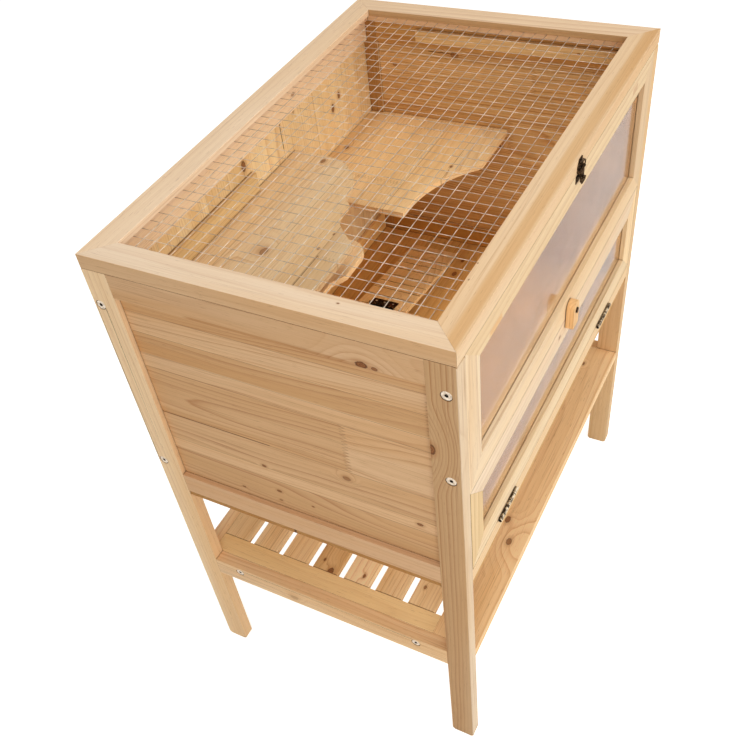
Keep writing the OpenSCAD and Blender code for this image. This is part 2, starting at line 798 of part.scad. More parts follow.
// children are drawn along +X on the ramp's top face, from its upper edge
module on_ramp() {
    translate([ramp_x + ramp_gap / 2, 0, landing_z - ramp_sink]) rotate([0, ramp_slope, 0]) children();
}
groove_n = floor((ramp_len - 45) / groove_pitch);
module ramp() {
    color("tan") place() difference() {
        on_ramp() difference() {
            box(0, ramp_y, -ramp_t, ramp_len, ramp_w, ramp_t);
            for (i = [0:groove_n])
                box(34 + i * groove_pitch, ramp_y - 1, -groove_w, groove_w, ramp_w + 2, groove_w + 1);
        }
        box(ramp_x - 5, ramp_y - 5, landing_z - 2 * ramp_t, 5 + ramp_gap / 2, ramp_w + 10, 3 * ramp_t);
        box(ramp_x, ramp_y - 5, floor_top - 20, ramp_len + 40, ramp_w + 10, 20.3);
    }
}
ramp_mid = ramp_y + ramp_w / 2;
rk = (ramp_hinge_len - 2 * knuckle_gap) / 3;
ramp_leaf_w = 17;
module ramp_knuckles(set) {
    for (i = (set == 0 ? [0, 2] : [1]))
        rod_y(ramp_x, ramp_mid - ramp_hinge_len / 2 + i * (rk + knuckle_gap), ramp_axis_z, rk, barrel_d);
}
module ramp_pin_hole() {
    rod_y(ramp_x, ramp_mid - ramp_hinge_len, ramp_axis_z, 2 * ramp_hinge_len, pin_d + fit);
}
module ramp_hinge_leaf() {
    y0 = ramp_mid - ramp_hinge_len / 2;
    color("dimgray") place() difference() {
        union() {
            ramp_knuckles(1);
            on_ramp() box(barrel_d / 2, y0, 0, ramp_leaf_w, ramp_hinge_len, leaf_t);
            on_ramp() box(0.2, y0 + rk + knuckle_gap, 0, barrel_d / 2, rk, leaf_t);
        }
        ramp_pin_hole();
    }
}
module ramp_hinge_fixed_leaf() {
    y0 = ramp_mid - ramp_hinge_len / 2;
    color("dimgray") place() difference() {
        union() {
            ramp_knuckles(0);
            box(ramp_x - ramp_leaf_w - barrel_d / 2, y0, landing_z, ramp_leaf_w, ramp_hinge_len, leaf_t);
            for (i = [0, 2]) box(ramp_x - barrel_d / 2 - 0.5, y0 + i * (rk + knuckle_gap), landing_z,
                barrel_d / 2, rk, leaf_t);
        }
        ramp_pin_hole();
    }
}
module ramp_hinge_pin() {
    color("gray") place() rod_y(ramp_x, ramp_mid - ramp_hinge_len / 2, ramp_axis_z, ramp_hinge_len, pin_d);
}

// ---- shelf ----
shelf_low = shelf_z - shelf_t;
module stretcher_left() {
    color("burlywood") place() difference() {
        box(0, leg_y, shelf_z - stretcher_h, leg_x, side_len, stretcher_h); bolt_cuts(); }
}
module stretcher_right() {
    color("burlywood") place() difference() {
        box(width - leg_x, leg_y, shelf_z - stretcher_h, leg_x, side_len, stretcher_h); bolt_cuts(); }
}
module shelf_front_plank() {
    color("burlywood") place() difference() {
        box(inner_x, 0, shelf_low, inner_w, front_plank, shelf_t); bolt_cuts(); }
}
module shelf_rear_plank() {
    color("burlywood") place() difference() {
        box(inner_x, depth - rear_plank, shelf_low, inner_w, rear_plank, shelf_t); bolt_cuts(); }
}
module shelf_side_planks() {
    color("burlywood") place() difference() {
        for (x = [inner_x, width - leg_x - side_plank])
            box(x, front_plank, shelf_low, side_plank, slat_space, shelf_t);
        bolt_cuts();
    }
}
module shelf_slats() {
    color("tan") place() difference() {
        for (i = [0:slat_count - 1])
            box(inner_x + side_plank, front_plank + slat_gap + i * slat_pitch, shelf_z - slat_t,
                inner_w - 2 * side_plank, slat_pitch - slat_gap, slat_t);
        bolt_cuts();
    }
}

leg_front_left();
leg_front_right();
leg_rear_left();
leg_rear_right();
left_top_rail();
left_bottom_rail();
left_panel();
right_top_rail();
right_bottom_rail();
right_panel();
rear_top_rail();
rear_bottom_rail();
rear_panel();
floor_board();
front_bottom_rail();
window_top_rail();
window_bottom_rail();
window_left_stile();
window_right_stile();
window_pane();
turn_button();
turn_button_screw();
door_top_rail();
door_bottom_rail();
door_left_stile();
door_right_stile();
door_pane();
door_hinge_leaves();
door_hinge_fixed_leaves();
door_hinge_pins();
lid_front_rail();
lid_rear_rail();
lid_left_rail();
lid_right_rail();
lid_net();
lid_hinge_leaves();
lid_hinge_fixed_leaves();
lid_hinge_pins();
latch_plate();
latch_hasp();
latch_pin();
latch_catch();
upper_platform();
rear_wall_strip();
right_wall_strip();
middle_platform();
ledge();
platform_cleats();
landing();
landing_battens();
ramp();
ramp_hinge_leaf();
ramp_hinge_fixed_leaf();
ramp_hinge_pin();
stretcher_left();
stretcher_right();
shelf_front_plank();
shelf_rear_plank();
shelf_side_planks();
shelf_slats();
bolts_left();
bolts_right();
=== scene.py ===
# %% [markdown]
# # A wooden small animal cage
# The cage stands on four legs: pine boards, a mesh lid, a clear front with a door that
# drops down, climbing platforms, a ramp and a slatted shelf. The solids come from the
# CAD model as a fixed frame. Here they get their wood, metal and clear sheet, and the
# fine pieces that the CAD model only hints at, such as the round wires and the screws.

# %% Load the frame
import bpy, bmesh, math, random
from mathutils import Matrix, Vector


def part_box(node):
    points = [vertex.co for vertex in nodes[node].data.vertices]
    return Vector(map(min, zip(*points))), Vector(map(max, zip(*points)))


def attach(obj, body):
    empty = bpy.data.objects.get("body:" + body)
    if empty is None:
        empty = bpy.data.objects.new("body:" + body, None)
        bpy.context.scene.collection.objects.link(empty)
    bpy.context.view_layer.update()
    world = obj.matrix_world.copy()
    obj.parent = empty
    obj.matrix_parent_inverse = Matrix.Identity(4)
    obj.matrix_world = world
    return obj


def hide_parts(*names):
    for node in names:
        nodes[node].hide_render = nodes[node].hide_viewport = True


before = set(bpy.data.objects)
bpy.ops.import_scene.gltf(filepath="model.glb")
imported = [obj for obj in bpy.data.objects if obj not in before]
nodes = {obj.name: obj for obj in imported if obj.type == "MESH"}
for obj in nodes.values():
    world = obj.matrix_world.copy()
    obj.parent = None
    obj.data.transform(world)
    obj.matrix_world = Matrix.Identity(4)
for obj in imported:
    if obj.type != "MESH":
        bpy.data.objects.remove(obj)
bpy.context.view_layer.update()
print("CAD nodes:", len(nodes))

# %% [markdown]
# Workshop drawings count millimetres from one corner of the piece, so this script does
# too: X from the left side, Y from the front faces and Z from the floor. One function
# turns such a place into metres in the shared frame.

# %% Places in millimetres
MM = 0.001
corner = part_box("leg_front_left")[0]


def at(x, y, z):
    """A place counted from the front left foot, in metres."""
    return Vector((corner.x + x * MM, corner.y + y * MM, z * MM))


print("front left foot at", tuple(round(c, 4) for c in corner))

# %% [markdown]
# ## The camera
# The photograph looks down over the front left corner with a fairly wide lens. Its place
# and its axes were worked out from the straight edges of the cage. The small shift
# stands for a picture that was cropped a little off centre.

# %% Camera
CAMERA_AT = (-646.4, -303.4, 1586.5)
CAMERA_RIGHT = Vector((0.4612, -0.8802, -0.1119))
CAMERA_DOWN = Vector((-0.6836, -0.2721, -0.6773))
LENS = 44.48
SHIFT = (0.0141, 0.0857)

lens = bpy.data.cameras.new("photo_camera")
camera = bpy.data.objects.new("photo_camera", lens)
bpy.context.scene.collection.objects.link(camera)
lens.sensor_width, lens.lens = 36.0, LENS
lens.shift_x, lens.shift_y = SHIFT
right = CAMERA_RIGHT.normalized()
up = (-CAMERA_DOWN + right * CAMERA_DOWN.dot(right)).normalized()
turn = Matrix((right, up, right.cross(up))).transposed()
camera.matrix_world = Matrix.Translation(at(*CAMERA_AT)) @ turn.to_4x4()
bpy.context.scene.camera = camera
print("camera at", tuple(round(c, 3) for c in camera.location))

# %% [markdown]
# ## Light
# The product was shot in a white studio. The front is brightest, the lid comes next and
# the left side is in half shade, so the main lamp is a large soft one in front of the
# cage and a little to the right. One above it lights the lid and the floor inside, and a
# weaker one at the left reaches under the cage, to the shelf.

# %% Lamps and world


def area_lamp(name, place, aim, size, watts, colour=(1, 1, 1)):
    """A square soft lamp at one place, turned to another; both in metres."""
    lamp = bpy.data.lights.new(name, "AREA")
    lamp.shape, lamp.size, lamp.energy, lamp.color = "SQUARE", size, watts, colour
    holder = bpy.data.objects.new(name, lamp)
    bpy.context.scene.collection.objects.link(holder)
    holder.location = place
    holder.rotation_euler = (Vector(aim) - Vector(place)).to_track_quat("-Z", "Y").to_euler()
    return holder


area_lamp("front_softbox", (0.7, -3.1, 1.7), (0, 0, 0.5), 2.2, 40, (1.0, 0.985, 0.96))
area_lamp("top_softbox", (0.0, -0.1, 3.2), (0, 0, 0.6), 1.2, 20, (1.0, 0.99, 0.97))
area_lamp("side_softbox", (-2.12, -1.2, 1.76), (-0.3, -0.1, 0.3), 1.6, 24, (1.0, 0.985, 0.96))

scene = bpy.context.scene
scene.view_settings.view_transform = "Standard"
world = bpy.data.worlds.new("white_studio")
scene.world = world
world.use_nodes = True

# %% [markdown]
# A shader is a small factory: values go in on the left and a finish comes out on the
# right. A few helpers keep the factories short. One adds a node and wires its inputs, and
# others add a sum, a mix of two colours or a range. One turns a colour as a screen shows
# it into the linear numbers that a shader works with.

# %% Node helpers


def wire(tree, kind, inputs=None, **settings):
    """Adds a node. Each input is a plain value or the output of another node."""
    made = tree.nodes.new("ShaderNode" + kind)
    for name, value in settings.items():
        setattr(made, name, value)
    for key, value in (inputs or {}).items():
        if isinstance(value, bpy.types.NodeSocket):
            tree.links.new(value, made.inputs[key])
        else:
            made.inputs[key].default_value = value
    return made


def calc(tree, operation, *values):
    """A Math node's result."""
    return wire(tree, "Math", dict(enumerate(values)), operation=operation).outputs[0]


def tint(red, green, blue):
    """A screen colour, 0 to 255, as linear numbers with full alpha."""
    def linear(c):
        c /= 255
        return c / 12.92 if c <= 0.04045 else ((c + 0.055) / 1.055) ** 2.4
    return (linear(red), linear(green), linear(blue), 1.0)


def blend_colour(tree, factor, a, b, mode="MIX"):
    """Mixes two colours."""
    return wire(tree, "Mix", {0: factor, 6: a, 7: b}, data_type="RGBA", blend_type=mode).outputs[2]


def span(tree, value, low, high, to_low=0.0, to_high=1.0, smooth=True):
    """Maps a range of values to another one, clamped."""
    return wire(tree, "MapRange", {0: value, 1: low, 2: high, 3: to_low, 4: to_high},
                interpolation_type="SMOOTHSTEP" if smooth else "LINEAR").outputs[0]


print("a middle grey is", round(tint(128, 128, 128)[0], 3), "in linear light")

# %% [markdown]
# The backdrop is pure white where the camera sees it, also in a mirror or through a
# sheet. The light that it sends to the wood is weaker, or the shade under the lid would
# be washed out. The floor works the same way, but it still darkens where a foot stands.

# %% White world behind everything
FILL = 0.36
FLOOR_GLOW = 0.72


def seen_directly(tree):
    """1 for what the camera sees, straight, mirrored or through a sheet, and 0 for other light."""
    path = wire(tree, "LightPath")
    return calc(tree, "MAXIMUM", path.outputs["Is Camera Ray"],
                calc(tree, "MAXIMUM", path.outputs["Is Glossy Ray"], path.outputs["Is Transmission Ray"]))


tree = world.node_tree
tree.nodes.clear()
seen = seen_directly(tree)
fill = wire(tree, "Background", {"Color": (1.0, 0.985, 0.96, 1.0), "Strength": FILL})
white = wire(tree, "Background", {"Color": (1.0, 1.0, 1.0, 1.0), "Strength": 1.0})
both = wire(tree, "MixShader", {0: seen, 1: fill.outputs[0], 2: white.outputs[0]})
wire(tree, "OutputWorld", {0: both.outputs[0]})
print("world nodes:", len(tree.nodes))

# %% Pale floor
bed = bmesh.new()
bmesh.ops.create_grid(bed, x_segments=4, y_segments=4, size=7.0)
floor_mesh = bpy.data.meshes.new("studio_floor")
bed.to_mesh(floor_mesh)
bed.free()
studio_floor = bpy.data.objects.new("studio_floor", floor_mesh)
scene.collection.objects.link(studio_floor)
paper = bpy.data.materials.new("studio_paper")
paper.use_nodes = True
tree = paper.node_tree
tree.nodes.clear()
seen = seen_directly(tree)
grain = wire(tree, "TexNoise", {"Vector": wire(tree, "TexCoord").outputs["Object"], "Scale": 3.0})
matt = wire(tree, "BsdfDiffuse", {"Color": blend_colour(
    tree, grain.outputs[0], (0.86, 0.86, 0.855, 1), (0.88, 0.88, 0.88, 1))})
glow = wire(tree, "Emission", {"Color": (1, 1, 1, 1), "Strength": calc(tree, "MULTIPLY", seen, FLOOR_GLOW)})
wire(tree, "OutputMaterial", {0: wire(tree, "AddShader", {0: matt.outputs[0], 1: glow.outputs[0]}).outputs[0]})
studio_floor.data.materials.append(paper)
print("floor is", round(studio_floor.dimensions.x, 1), "m wide")

# %% [markdown]
# ## Pine
# A board is cut from a trunk, so its pattern is not a picture on its faces: it is a stack
# of growth rings inside it. The material measures how far each point lies from the
# trunk's heart, bends that distance a little, and draws a ring every few millimetres.
# All six faces then agree, end grain included. A knot pushes the rings aside and shows as
# a dark eye. Glued boards get a new heart in every strip, with finger joints between the
# pieces of a strip.

# %% Grain directions and the start of a material
# For each grain direction: the two axes across it, then the one along it.
GRAIN = {"X": ("Y", "Z", "X"), "Y": ("X", "Z", "Y"), "Z": ("X", "Y", "Z")}


def fresh(name):
    """A new material with a wired surface shader: (material, tree, shader)."""
    made = bpy.data.materials.new(name)
    made.use_nodes = True
    tree = made.node_tree
    tree.nodes.clear()
    shader = wire(tree, "BsdfPrincipled")
    wire(tree, "OutputMaterial", {0: shader.outputs[0]})
    return made, tree, shader


def ramp(tree, value, stops, mode="LINEAR"):
    """A colour ramp from (place, grey or colour) pairs."""
    made = wire(tree, "ValToRGB", {0: value})
    line = made.color_ramp
    line.interpolation = mode
    while len(line.elements) > 1:
        line.elements.remove(line.elements[-1])
    for i, (place, colour) in enumerate(stops):
        stop = line.elements[0] if i == 0 else line.elements.new(place)
        stop.position = place
        stop.color = colour if isinstance(colour, tuple) else (colour, colour, colour, 1.0)
    return made.outputs[0]


print("grain can run along", ", ".join(GRAIN))

# %% Shade in the joints
# Painted shade and dust: the brown that narrow corners and joints are darkened towards.
SHADE_AND_DUST = tint(104, 62, 30)
JOINT_REACH, JOINT_DEPTH = 0.0035, 0.8


def shade_joints(tree, colour):
    """Painted shade, with some dust, darkens the last millimetres where two boards meet."""
    air = wire(tree, "AmbientOcclusion", {"Distance": JOINT_REACH}, samples=4).outputs["AO"]
    return blend_colour(tree, span(tree, air, 0.25, 0.9, JOINT_DEPTH, 0.0), colour, SHADE_AND_DUST)


print("joints are shaded for", JOINT_REACH / MM, "mm")

# %% Strips of a glued board
GLUE_WIDTH = 0.0006


def strip_numbers(tree, across, edges, seed, tones):
    """Two random numbers and a tone that change at every glue line. Edges in metres."""
    dice = random.Random(seed)
    low, high = edges[0], edges[-1]
    place = span(tree, across, low, high, smooth=False)
    stops = [((e - low) / (high - low), (dice.random(), dice.random(), tone, 1.0))
             for e, tone in zip(edges, tones)]
    return ramp(tree, place, stops, "CONSTANT")


def glue_lines(tree, across, edges):
    """1 on a glue line and 0 elsewhere."""
    total = 0.0
    for e in edges[1:-1]:
        near = calc(tree, "ABSOLUTE", calc(tree, "SUBTRACT", across, e))
        line = span(tree, near, GLUE_WIDTH * 0.3, GLUE_WIDTH, 1.0, 0.0)
        total = calc(tree, "MAXIMUM", total, line)
    return total


print("glue lines are", GLUE_WIDTH / MM, "mm wide")

# %% Finger joints
FINGER, FINGER_SLANT = 0.0031, 2.9


def stave(tree, along, across, box):
    """(1 inside one piece of a strip, 1 on its zigzag ends). Box in metres."""
    a0, a1, c0, c1 = box
    zigzag = calc(tree, "PINGPONG", calc(tree, "SUBTRACT", across, c0), FINGER)
    shifted = calc(tree, "MULTIPLY_ADD", zigzag, FINGER_SLANT, along)
    inside = calc(tree, "MULTIPLY", calc(tree, "GREATER_THAN", shifted, a0),
                  calc(tree, "LESS_THAN", shifted, a1))
    level = calc(tree, "MULTIPLY", calc(tree, "GREATER_THAN", across, c0),
                 calc(tree, "LESS_THAN", across, c1))
    gap = calc(tree, "MINIMUM", calc(tree, "ABSOLUTE", calc(tree, "SUBTRACT", shifted, a0)),
               calc(tree, "ABSOLUTE", calc(tree, "SUBTRACT", shifted, a1)))
    cut = span(tree, gap, 0.0006, 0.0022, 1.0, 0.0)
    return calc(tree, "MULTIPLY", inside, level), calc(tree, "MULTIPLY", cut, level)


print("fingers are", round(FINGER * FINGER_SLANT / MM, 1), "mm long")

# %% Knots
KNOT_SQUASH = 0.62


def knot_distance(tree, point, knot, order):
    """How far a point is from a knot's heart, in knot radii, longer along the grain.
    A knot is (x, y, z, radius, depth of colour, reach of its swirl), in millimetres."""
    x, y, z, radius = knot[:4]
    spot = at(x, y, z)
    heart = Vector([getattr(spot, c.lower()) for c in order])
    off = wire(tree, "VectorMath", {0: point, 1: heart}, operation="SUBTRACT").outputs[0]
    k = 1 / (radius * MM)
    squashed = wire(tree, "VectorMath", {0: off, 1: (k, k, KNOT_SQUASH * k)}, operation="MULTIPLY").outputs[0]
    return wire(tree, "VectorMath", {0: squashed}, operation="LENGTH").outputs["Value"]


print("a knot is", round(1 / KNOT_SQUASH, 1), "times as long as it is wide")

# %% Growth rings
RING_STOPS = [(0.0, 0.0), (0.4, 0.10), (0.74, 0.45), (0.90, 1.0), (1.0, 0.0)]
AMBER = (0.93, 0.80, 0.62, 1.0)
THREAD, FLECK = tint(142, 88, 46), tint(134, 78, 38)
TAPER = 0.011
SMALL_KNOT = 3.4


def multiply(tree, colour, value, spread, top):
    """Scales red, green and blue by how far a value lies below one."""
    shades = [calc(tree, "MULTIPLY_ADD", value, a, top - a) for a in spread]
    factor = wire(tree, "CombineColor", dict(enumerate(shades))).outputs[0]
    return blend_colour(tree, 1.0, colour, factor, "MULTIPLY")


def ring_colour(tree, plain, point, order, early, late, heart, ring, bend, seed, contrast, knots):
    """Growth rings round the trunk's heart: (colour, ring, fibre and cloud values)."""
    start = random.Random(seed)
    shift = Vector((start.random(), start.random(), start.random())) * 9

    def noise(scales, detail, roughness=0.5, out="Fac"):
        place = wire(tree, "VectorMath", {0: point, 1: scales, 2: shift}, operation="MULTIPLY_ADD").outputs[0]
        return wire(tree, "TexNoise", {"Vector": place, "Scale": 1.0, "Detail": detail,
                                       "Roughness": roughness}).outputs[out]

    drift = noise((6.5, 6.5, 1.5), 2.2, 0.45, "Color")
    drift = wire(tree, "VectorMath", {0: drift, 1: (0.5, 0.5, 0.5)}, operation="SUBTRACT").outputs[0]
    drift = wire(tree, "VectorMath", {0: drift, "Scale": bend * 6 * MM}, operation="SCALE").outputs[0]
    spot = at(heart[0], heart[0], heart[0]), at(heart[1], heart[1], heart[1])
    centre = (getattr(spot[0], order[0].lower()), getattr(spot[1], order[1].lower()), 0.0)
    bent = wire(tree, "VectorMath", {0: point, 1: drift}, operation="ADD").outputs[0]
    moved = wire(tree, "VectorMath", {0: bent, 1: centre}, operation="SUBTRACT").outputs[0]
    radial = wire(tree, "VectorMath", {0: moved, 1: (1.0, 1.0, 0.0)}, operation="MULTIPLY").outputs[0]
    distance = wire(tree, "VectorMath", {0: radial}, operation="LENGTH").outputs["Value"]
    distance = calc(tree, "MULTIPLY_ADD", wire(tree, "SeparateXYZ", {0: plain}).outputs[2], TAPER, distance)
    for knot in knots:
        away = knot_distance(tree, plain, knot, order)
        swirl = knot[5] if len(knot) > 5 else 1.0
        push = span(tree, away, 0.6, 4.2 * swirl, 1.0, 0.0)
        reach = (1.9 if knot[3] > SMALL_KNOT else 0.7) * knot[3] * swirl * MM
        distance = calc(tree, "MULTIPLY_ADD", push, reach, distance)
    count = calc(tree, "MULTIPLY_ADD", distance, 1 / (ring * MM),
                 calc(tree, "MULTIPLY", noise((70.0, 70.0, 2.4), 2.0), 0.35))
    rings = ramp(tree, calc(tree, "FRACT", count), RING_STOPS)

    def years(rate):
        return wire(tree, "TexNoise", {"W": calc(tree, "MULTIPLY", count, rate), "Scale": 1.0, "Detail": 1.0},
                    noise_dimensions="1D").outputs[0]

    strong = calc(tree, "MULTIPLY", rings, span(tree, years(0.41), 0.35, 0.66, 0.22, 1.0))
    fibre = noise((620.0, 620.0, 9.0), 3.0, 0.6)
    cloud = noise((13.0, 13.0, 1.1), 2.0)
    colour = blend_colour(tree, calc(tree, "MULTIPLY", strong, contrast), early, late)
    amber = tuple(a * b for a, b in zip(early, AMBER))
    colour = blend_colour(tree, span(tree, cloud, 0.42, 0.72, 0.0, 0.65), colour, amber)
    colour = multiply(tree, colour, span(tree, years(0.13), 0.3, 0.7), (0.09, 0.15, 0.24), 1.03)
    thread = calc(tree, "MULTIPLY", span(tree, noise((760.0, 760.0, 8.0), 2.0), 0.54, 0.70),
                  span(tree, noise((34.0, 34.0, 3.0), 1.0), 0.36, 0.62, 0.12, 0.42))
    colour = blend_colour(tree, calc(tree, "MULTIPLY", thread, contrast * 1.3), colour, THREAD)
    fleck = noise((1100.0, 1100.0, 55.0), 1.0)
    colour = blend_colour(tree, span(tree, fleck, 0.66, 0.78, 0.0, 0.40), colour, FLECK)
    return multiply(tree, colour, fibre, (0.20, 0.28, 0.38), 1.16), rings, fibre, cloud


print("late wood takes", round((1 - RING_STOPS[2][0]) * 100), "per cent of a year")

# %% The look of a knot
KNOT_HALO, KNOT_RIM = tint(170, 106, 50), tint(72, 38, 18)
KNOT_EYE = tint(112, 62, 28), tint(150, 92, 48)


def draw_knot(tree, plain, knot, order, colour):
    """A halo, a dark rim and a ringed eye over the wood."""
    away = knot_distance(tree, plain, knot, order)
    ragged = wire(tree, "TexNoise", {"Vector": plain, "Scale": 420.0, "Detail": 2.0}).outputs[0]
    away = calc(tree, "MULTIPLY_ADD", ragged, 0.42, calc(tree, "SUBTRACT", away, 0.21))
    depth = knot[4] if len(knot) > 4 else 0.85
    halo = span(tree, away, 0.9, 2.3, 0.42 * depth, 0.0)
    colour = blend_colour(tree, halo, colour, KNOT_HALO)
    wave = calc(tree, "MULTIPLY_ADD", calc(tree, "SINE", calc(tree, "MULTIPLY", away, 17.0)), 0.5, 0.5)
    eye = blend_colour(tree, wave, *KNOT_EYE)
    eye = blend_colour(tree, span(tree, away, 0.62, 0.9), eye, KNOT_RIM)
    return blend_colour(tree, span(tree, away, 0.82, 1.05, depth, 0.0), colour, eye)


print("a knot has a halo, a rim and an eye")

# %% Patches, where one part of a board is lighter or darker
WOBBLE = 3.0


def within(tree, parts, wobble, limits):
    """1 between soft limits and 0 elsewhere. Each limit is (axis, low, high, softness)."""
    total = 1.0
    for axis, low, high, soft in limits:
        place = calc(tree, "MULTIPLY_ADD", wobble, soft * MM, parts.outputs[axis])
        low, high = (getattr(at(e, e, e), axis.lower()) for e in (low, high))
        rise = span(tree, place, low - soft * MM, low + soft * MM)
        fall = span(tree, place, high - soft * MM, high + soft * MM, 1.0, 0.0)
        total = calc(tree, "MULTIPLY", calc(tree, "MULTIPLY", rise, fall), total)
    return total


print("a patch's edge wanders by up to", WOBBLE, "times its softness")

# %% [markdown]
# Planed pine is matt: its roughness follows the fibres, and the soft early wood lies a
# hair lower than the hard late wood. A strip of a glued board is a cut from elsewhere in
# the trunk, so its rings are read from a place that lies some 300 mm away.

# %% The pine material
STRIP_JUMP = (310, 270)
LATE_WOOD = (0.60, 0.38, 0.23, 1.0)
STRIP_SPREAD, STRIP_TOP = (0.22, 0.33, 0.48), 1.04
GLUE = tint(112, 66, 30)
PINE_GLOSS, PINE_BUMP = 0.16, 0.3


def pine(name, along, early, heart, ring, bend, seed, contrast, knots=(), strips=None, tones=(), staves=(),
         patches=()):
    """Solid pine. Heart, ring and bend are in millimetres, across the grain."""
    made, tree, shader = fresh(name)
    late = tuple(a * b for a, b in zip(early, LATE_WOOD))
    order = GRAIN[along]
    parts = wire(tree, "SeparateXYZ", {0: wire(tree, "TexCoord").outputs["Object"]})
    u, v, w = (parts.outputs[c] for c in order)
    plain = wire(tree, "CombineXYZ", {0: u, 1: v, 2: w}).outputs[0]
    point = plain
    if strips:
        edges = [getattr(at(e, e, e), strips[0].lower()) for e in strips[1:]]
        across = parts.outputs[strips[0]]
        dice = strip_numbers(tree, across, edges, seed + 11, tones)
        lines = glue_lines(tree, across, edges)
        for i, box in enumerate(staves):
            a0, a1 = (getattr(at(e, e, e), along.lower()) for e in box[:2])
            c0, c1 = (getattr(at(e, e, e), strips[0].lower()) for e in box[2:4])
            inside, cut = stave(tree, w, across, (a0, a1, c0, c1))
            lines = calc(tree, "MAXIMUM", lines, calc(tree, "MULTIPLY", cut, 0.55))
            own = random.Random(seed * 7 + i)
            jump = (own.random(), own.random())
            if len(box) > 5:
                jump = (heart[0] - box[5]) / STRIP_JUMP[0], (heart[1] - box[6]) / STRIP_JUMP[1]
            dice = blend_colour(tree, inside, dice, (*jump, box[4], 1.0))
        step = wire(tree, "SeparateColor", {0: dice})
        tone = step.outputs[2]
        jump = wire(tree, "CombineXYZ", {
            0: calc(tree, "MULTIPLY", step.outputs[0], STRIP_JUMP[0] * MM),
            1: calc(tree, "MULTIPLY", step.outputs[1], STRIP_JUMP[1] * MM)}).outputs[0]
        point = wire(tree, "VectorMath", {0: plain, 1: jump}, operation="ADD").outputs[0]
    colour, rings, fibre, cloud = ring_colour(
        tree, plain, point, order, early, late, heart, ring, bend, seed, contrast, knots)
    if strips:
        colour = multiply(tree, colour, tone, STRIP_SPREAD, STRIP_TOP)
        colour = blend_colour(tree, calc(tree, "MULTIPLY", lines, 0.55), colour, GLUE)
    wobble = calc(tree, "MULTIPLY_ADD", cloud, 2 * WOBBLE, -WOBBLE)
    for limits, factor, amount in patches:
        inside = within(tree, parts, wobble, limits)
        colour = blend_colour(tree, calc(tree, "MULTIPLY", inside, amount), colour,
                              blend_colour(tree, 1.0, colour, (*factor, 1.0), "MULTIPLY"))
    for knot in knots:
        colour = draw_knot(tree, plain, knot, order, colour)
    colour = shade_joints(tree, colour)
    tree.links.new(colour, shader.inputs["Base Color"])
    shader.inputs["Specular IOR Level"].default_value = PINE_GLOSS
    tree.links.new(span(tree, fibre, 0.2, 0.8, 0.52, 0.74, False), shader.inputs["Roughness"])
    height = calc(tree, "SUBTRACT", calc(tree, "MULTIPLY", fibre, 0.6), calc(tree, "MULTIPLY", rings, 0.35))
    relief = wire(tree, "Bump", {"Strength": PINE_BUMP, "Distance": 0.0006, "Height": height})
    tree.links.new(relief.outputs[0], shader.inputs["Normal"])
    return made


print("strips are read", STRIP_JUMP, "mm apart")

# %% [markdown]
# ## Giving every board its own wood
# No two boards of the cage look the same, and each has its grain along its length. So
# every board gets its own material: its direction, its pair of colours, its trunk's heart
# and its knots, placed where the photograph shows them.

# %% The tone of every board
# The tones were fitted so that each board comes out as bright as it looks, so they also hold painted light and
# shade: a board that gets too little light here has a lighter tone, and one that stands in more shade than the
# lamps give it has a darker one.
WOOD = {
    "leg_front_left": (202, 169, 130), "leg_front_right": (230, 202, 162),
    "leg_rear_left": (249, 224, 189), "leg_rear_right": (230, 202, 162),
    "left_top_rail": (215, 182, 146), "left_bottom_rail": (222, 187, 151),
    "right_top_rail": (230, 200, 158), "right_bottom_rail": (230, 200, 158),
    "rear_top_rail": (251, 233, 207), "rear_bottom_rail": (238, 206, 160),
    "floor_board": (221, 180, 115), "front_bottom_rail": (237, 208, 166),
    "window_top_rail": (231, 207, 169), "window_bottom_rail": (242, 224, 196),
    "window_left_stile": (237, 218, 189), "window_right_stile": (225, 199, 164),
    "door_top_rail": (242, 225, 202), "door_bottom_rail": (238, 217, 182),
    "door_left_stile": (231, 206, 161), "door_right_stile": (247, 219, 175),
    "turn_button": (238, 198, 145), "lid_front_rail": (232, 205, 170),
    "lid_rear_rail": (237, 214, 186), "lid_left_rail": (234, 214, 190),
    "lid_right_rail": (233, 206, 174), "rear_wall_strip": (227, 202, 153), "ledge": (251, 226, 185),
    "landing": (243, 208, 158), "landing_battens": (238, 198, 145),
    "platform_cleats": (240, 211, 176), "ramp": (244, 214, 161), "stretcher_left": (242, 212, 173),
    "stretcher_right": (238, 198, 145), "shelf_front_plank": (251, 221, 175),
    "shelf_rear_plank": (251, 220, 177), "shelf_side_planks": (251, 224, 173),
    "left_panel": (221, 188, 150), "right_panel": (214, 181, 131), "rear_panel": (245, 226, 184),
    "upper_platform": (228, 208, 174), "middle_platform": (236, 210, 166),
    "right_wall_strip": (224, 191, 138), "shelf_slats": (251, 229, 189),
}
print("tones:", len(WOOD))

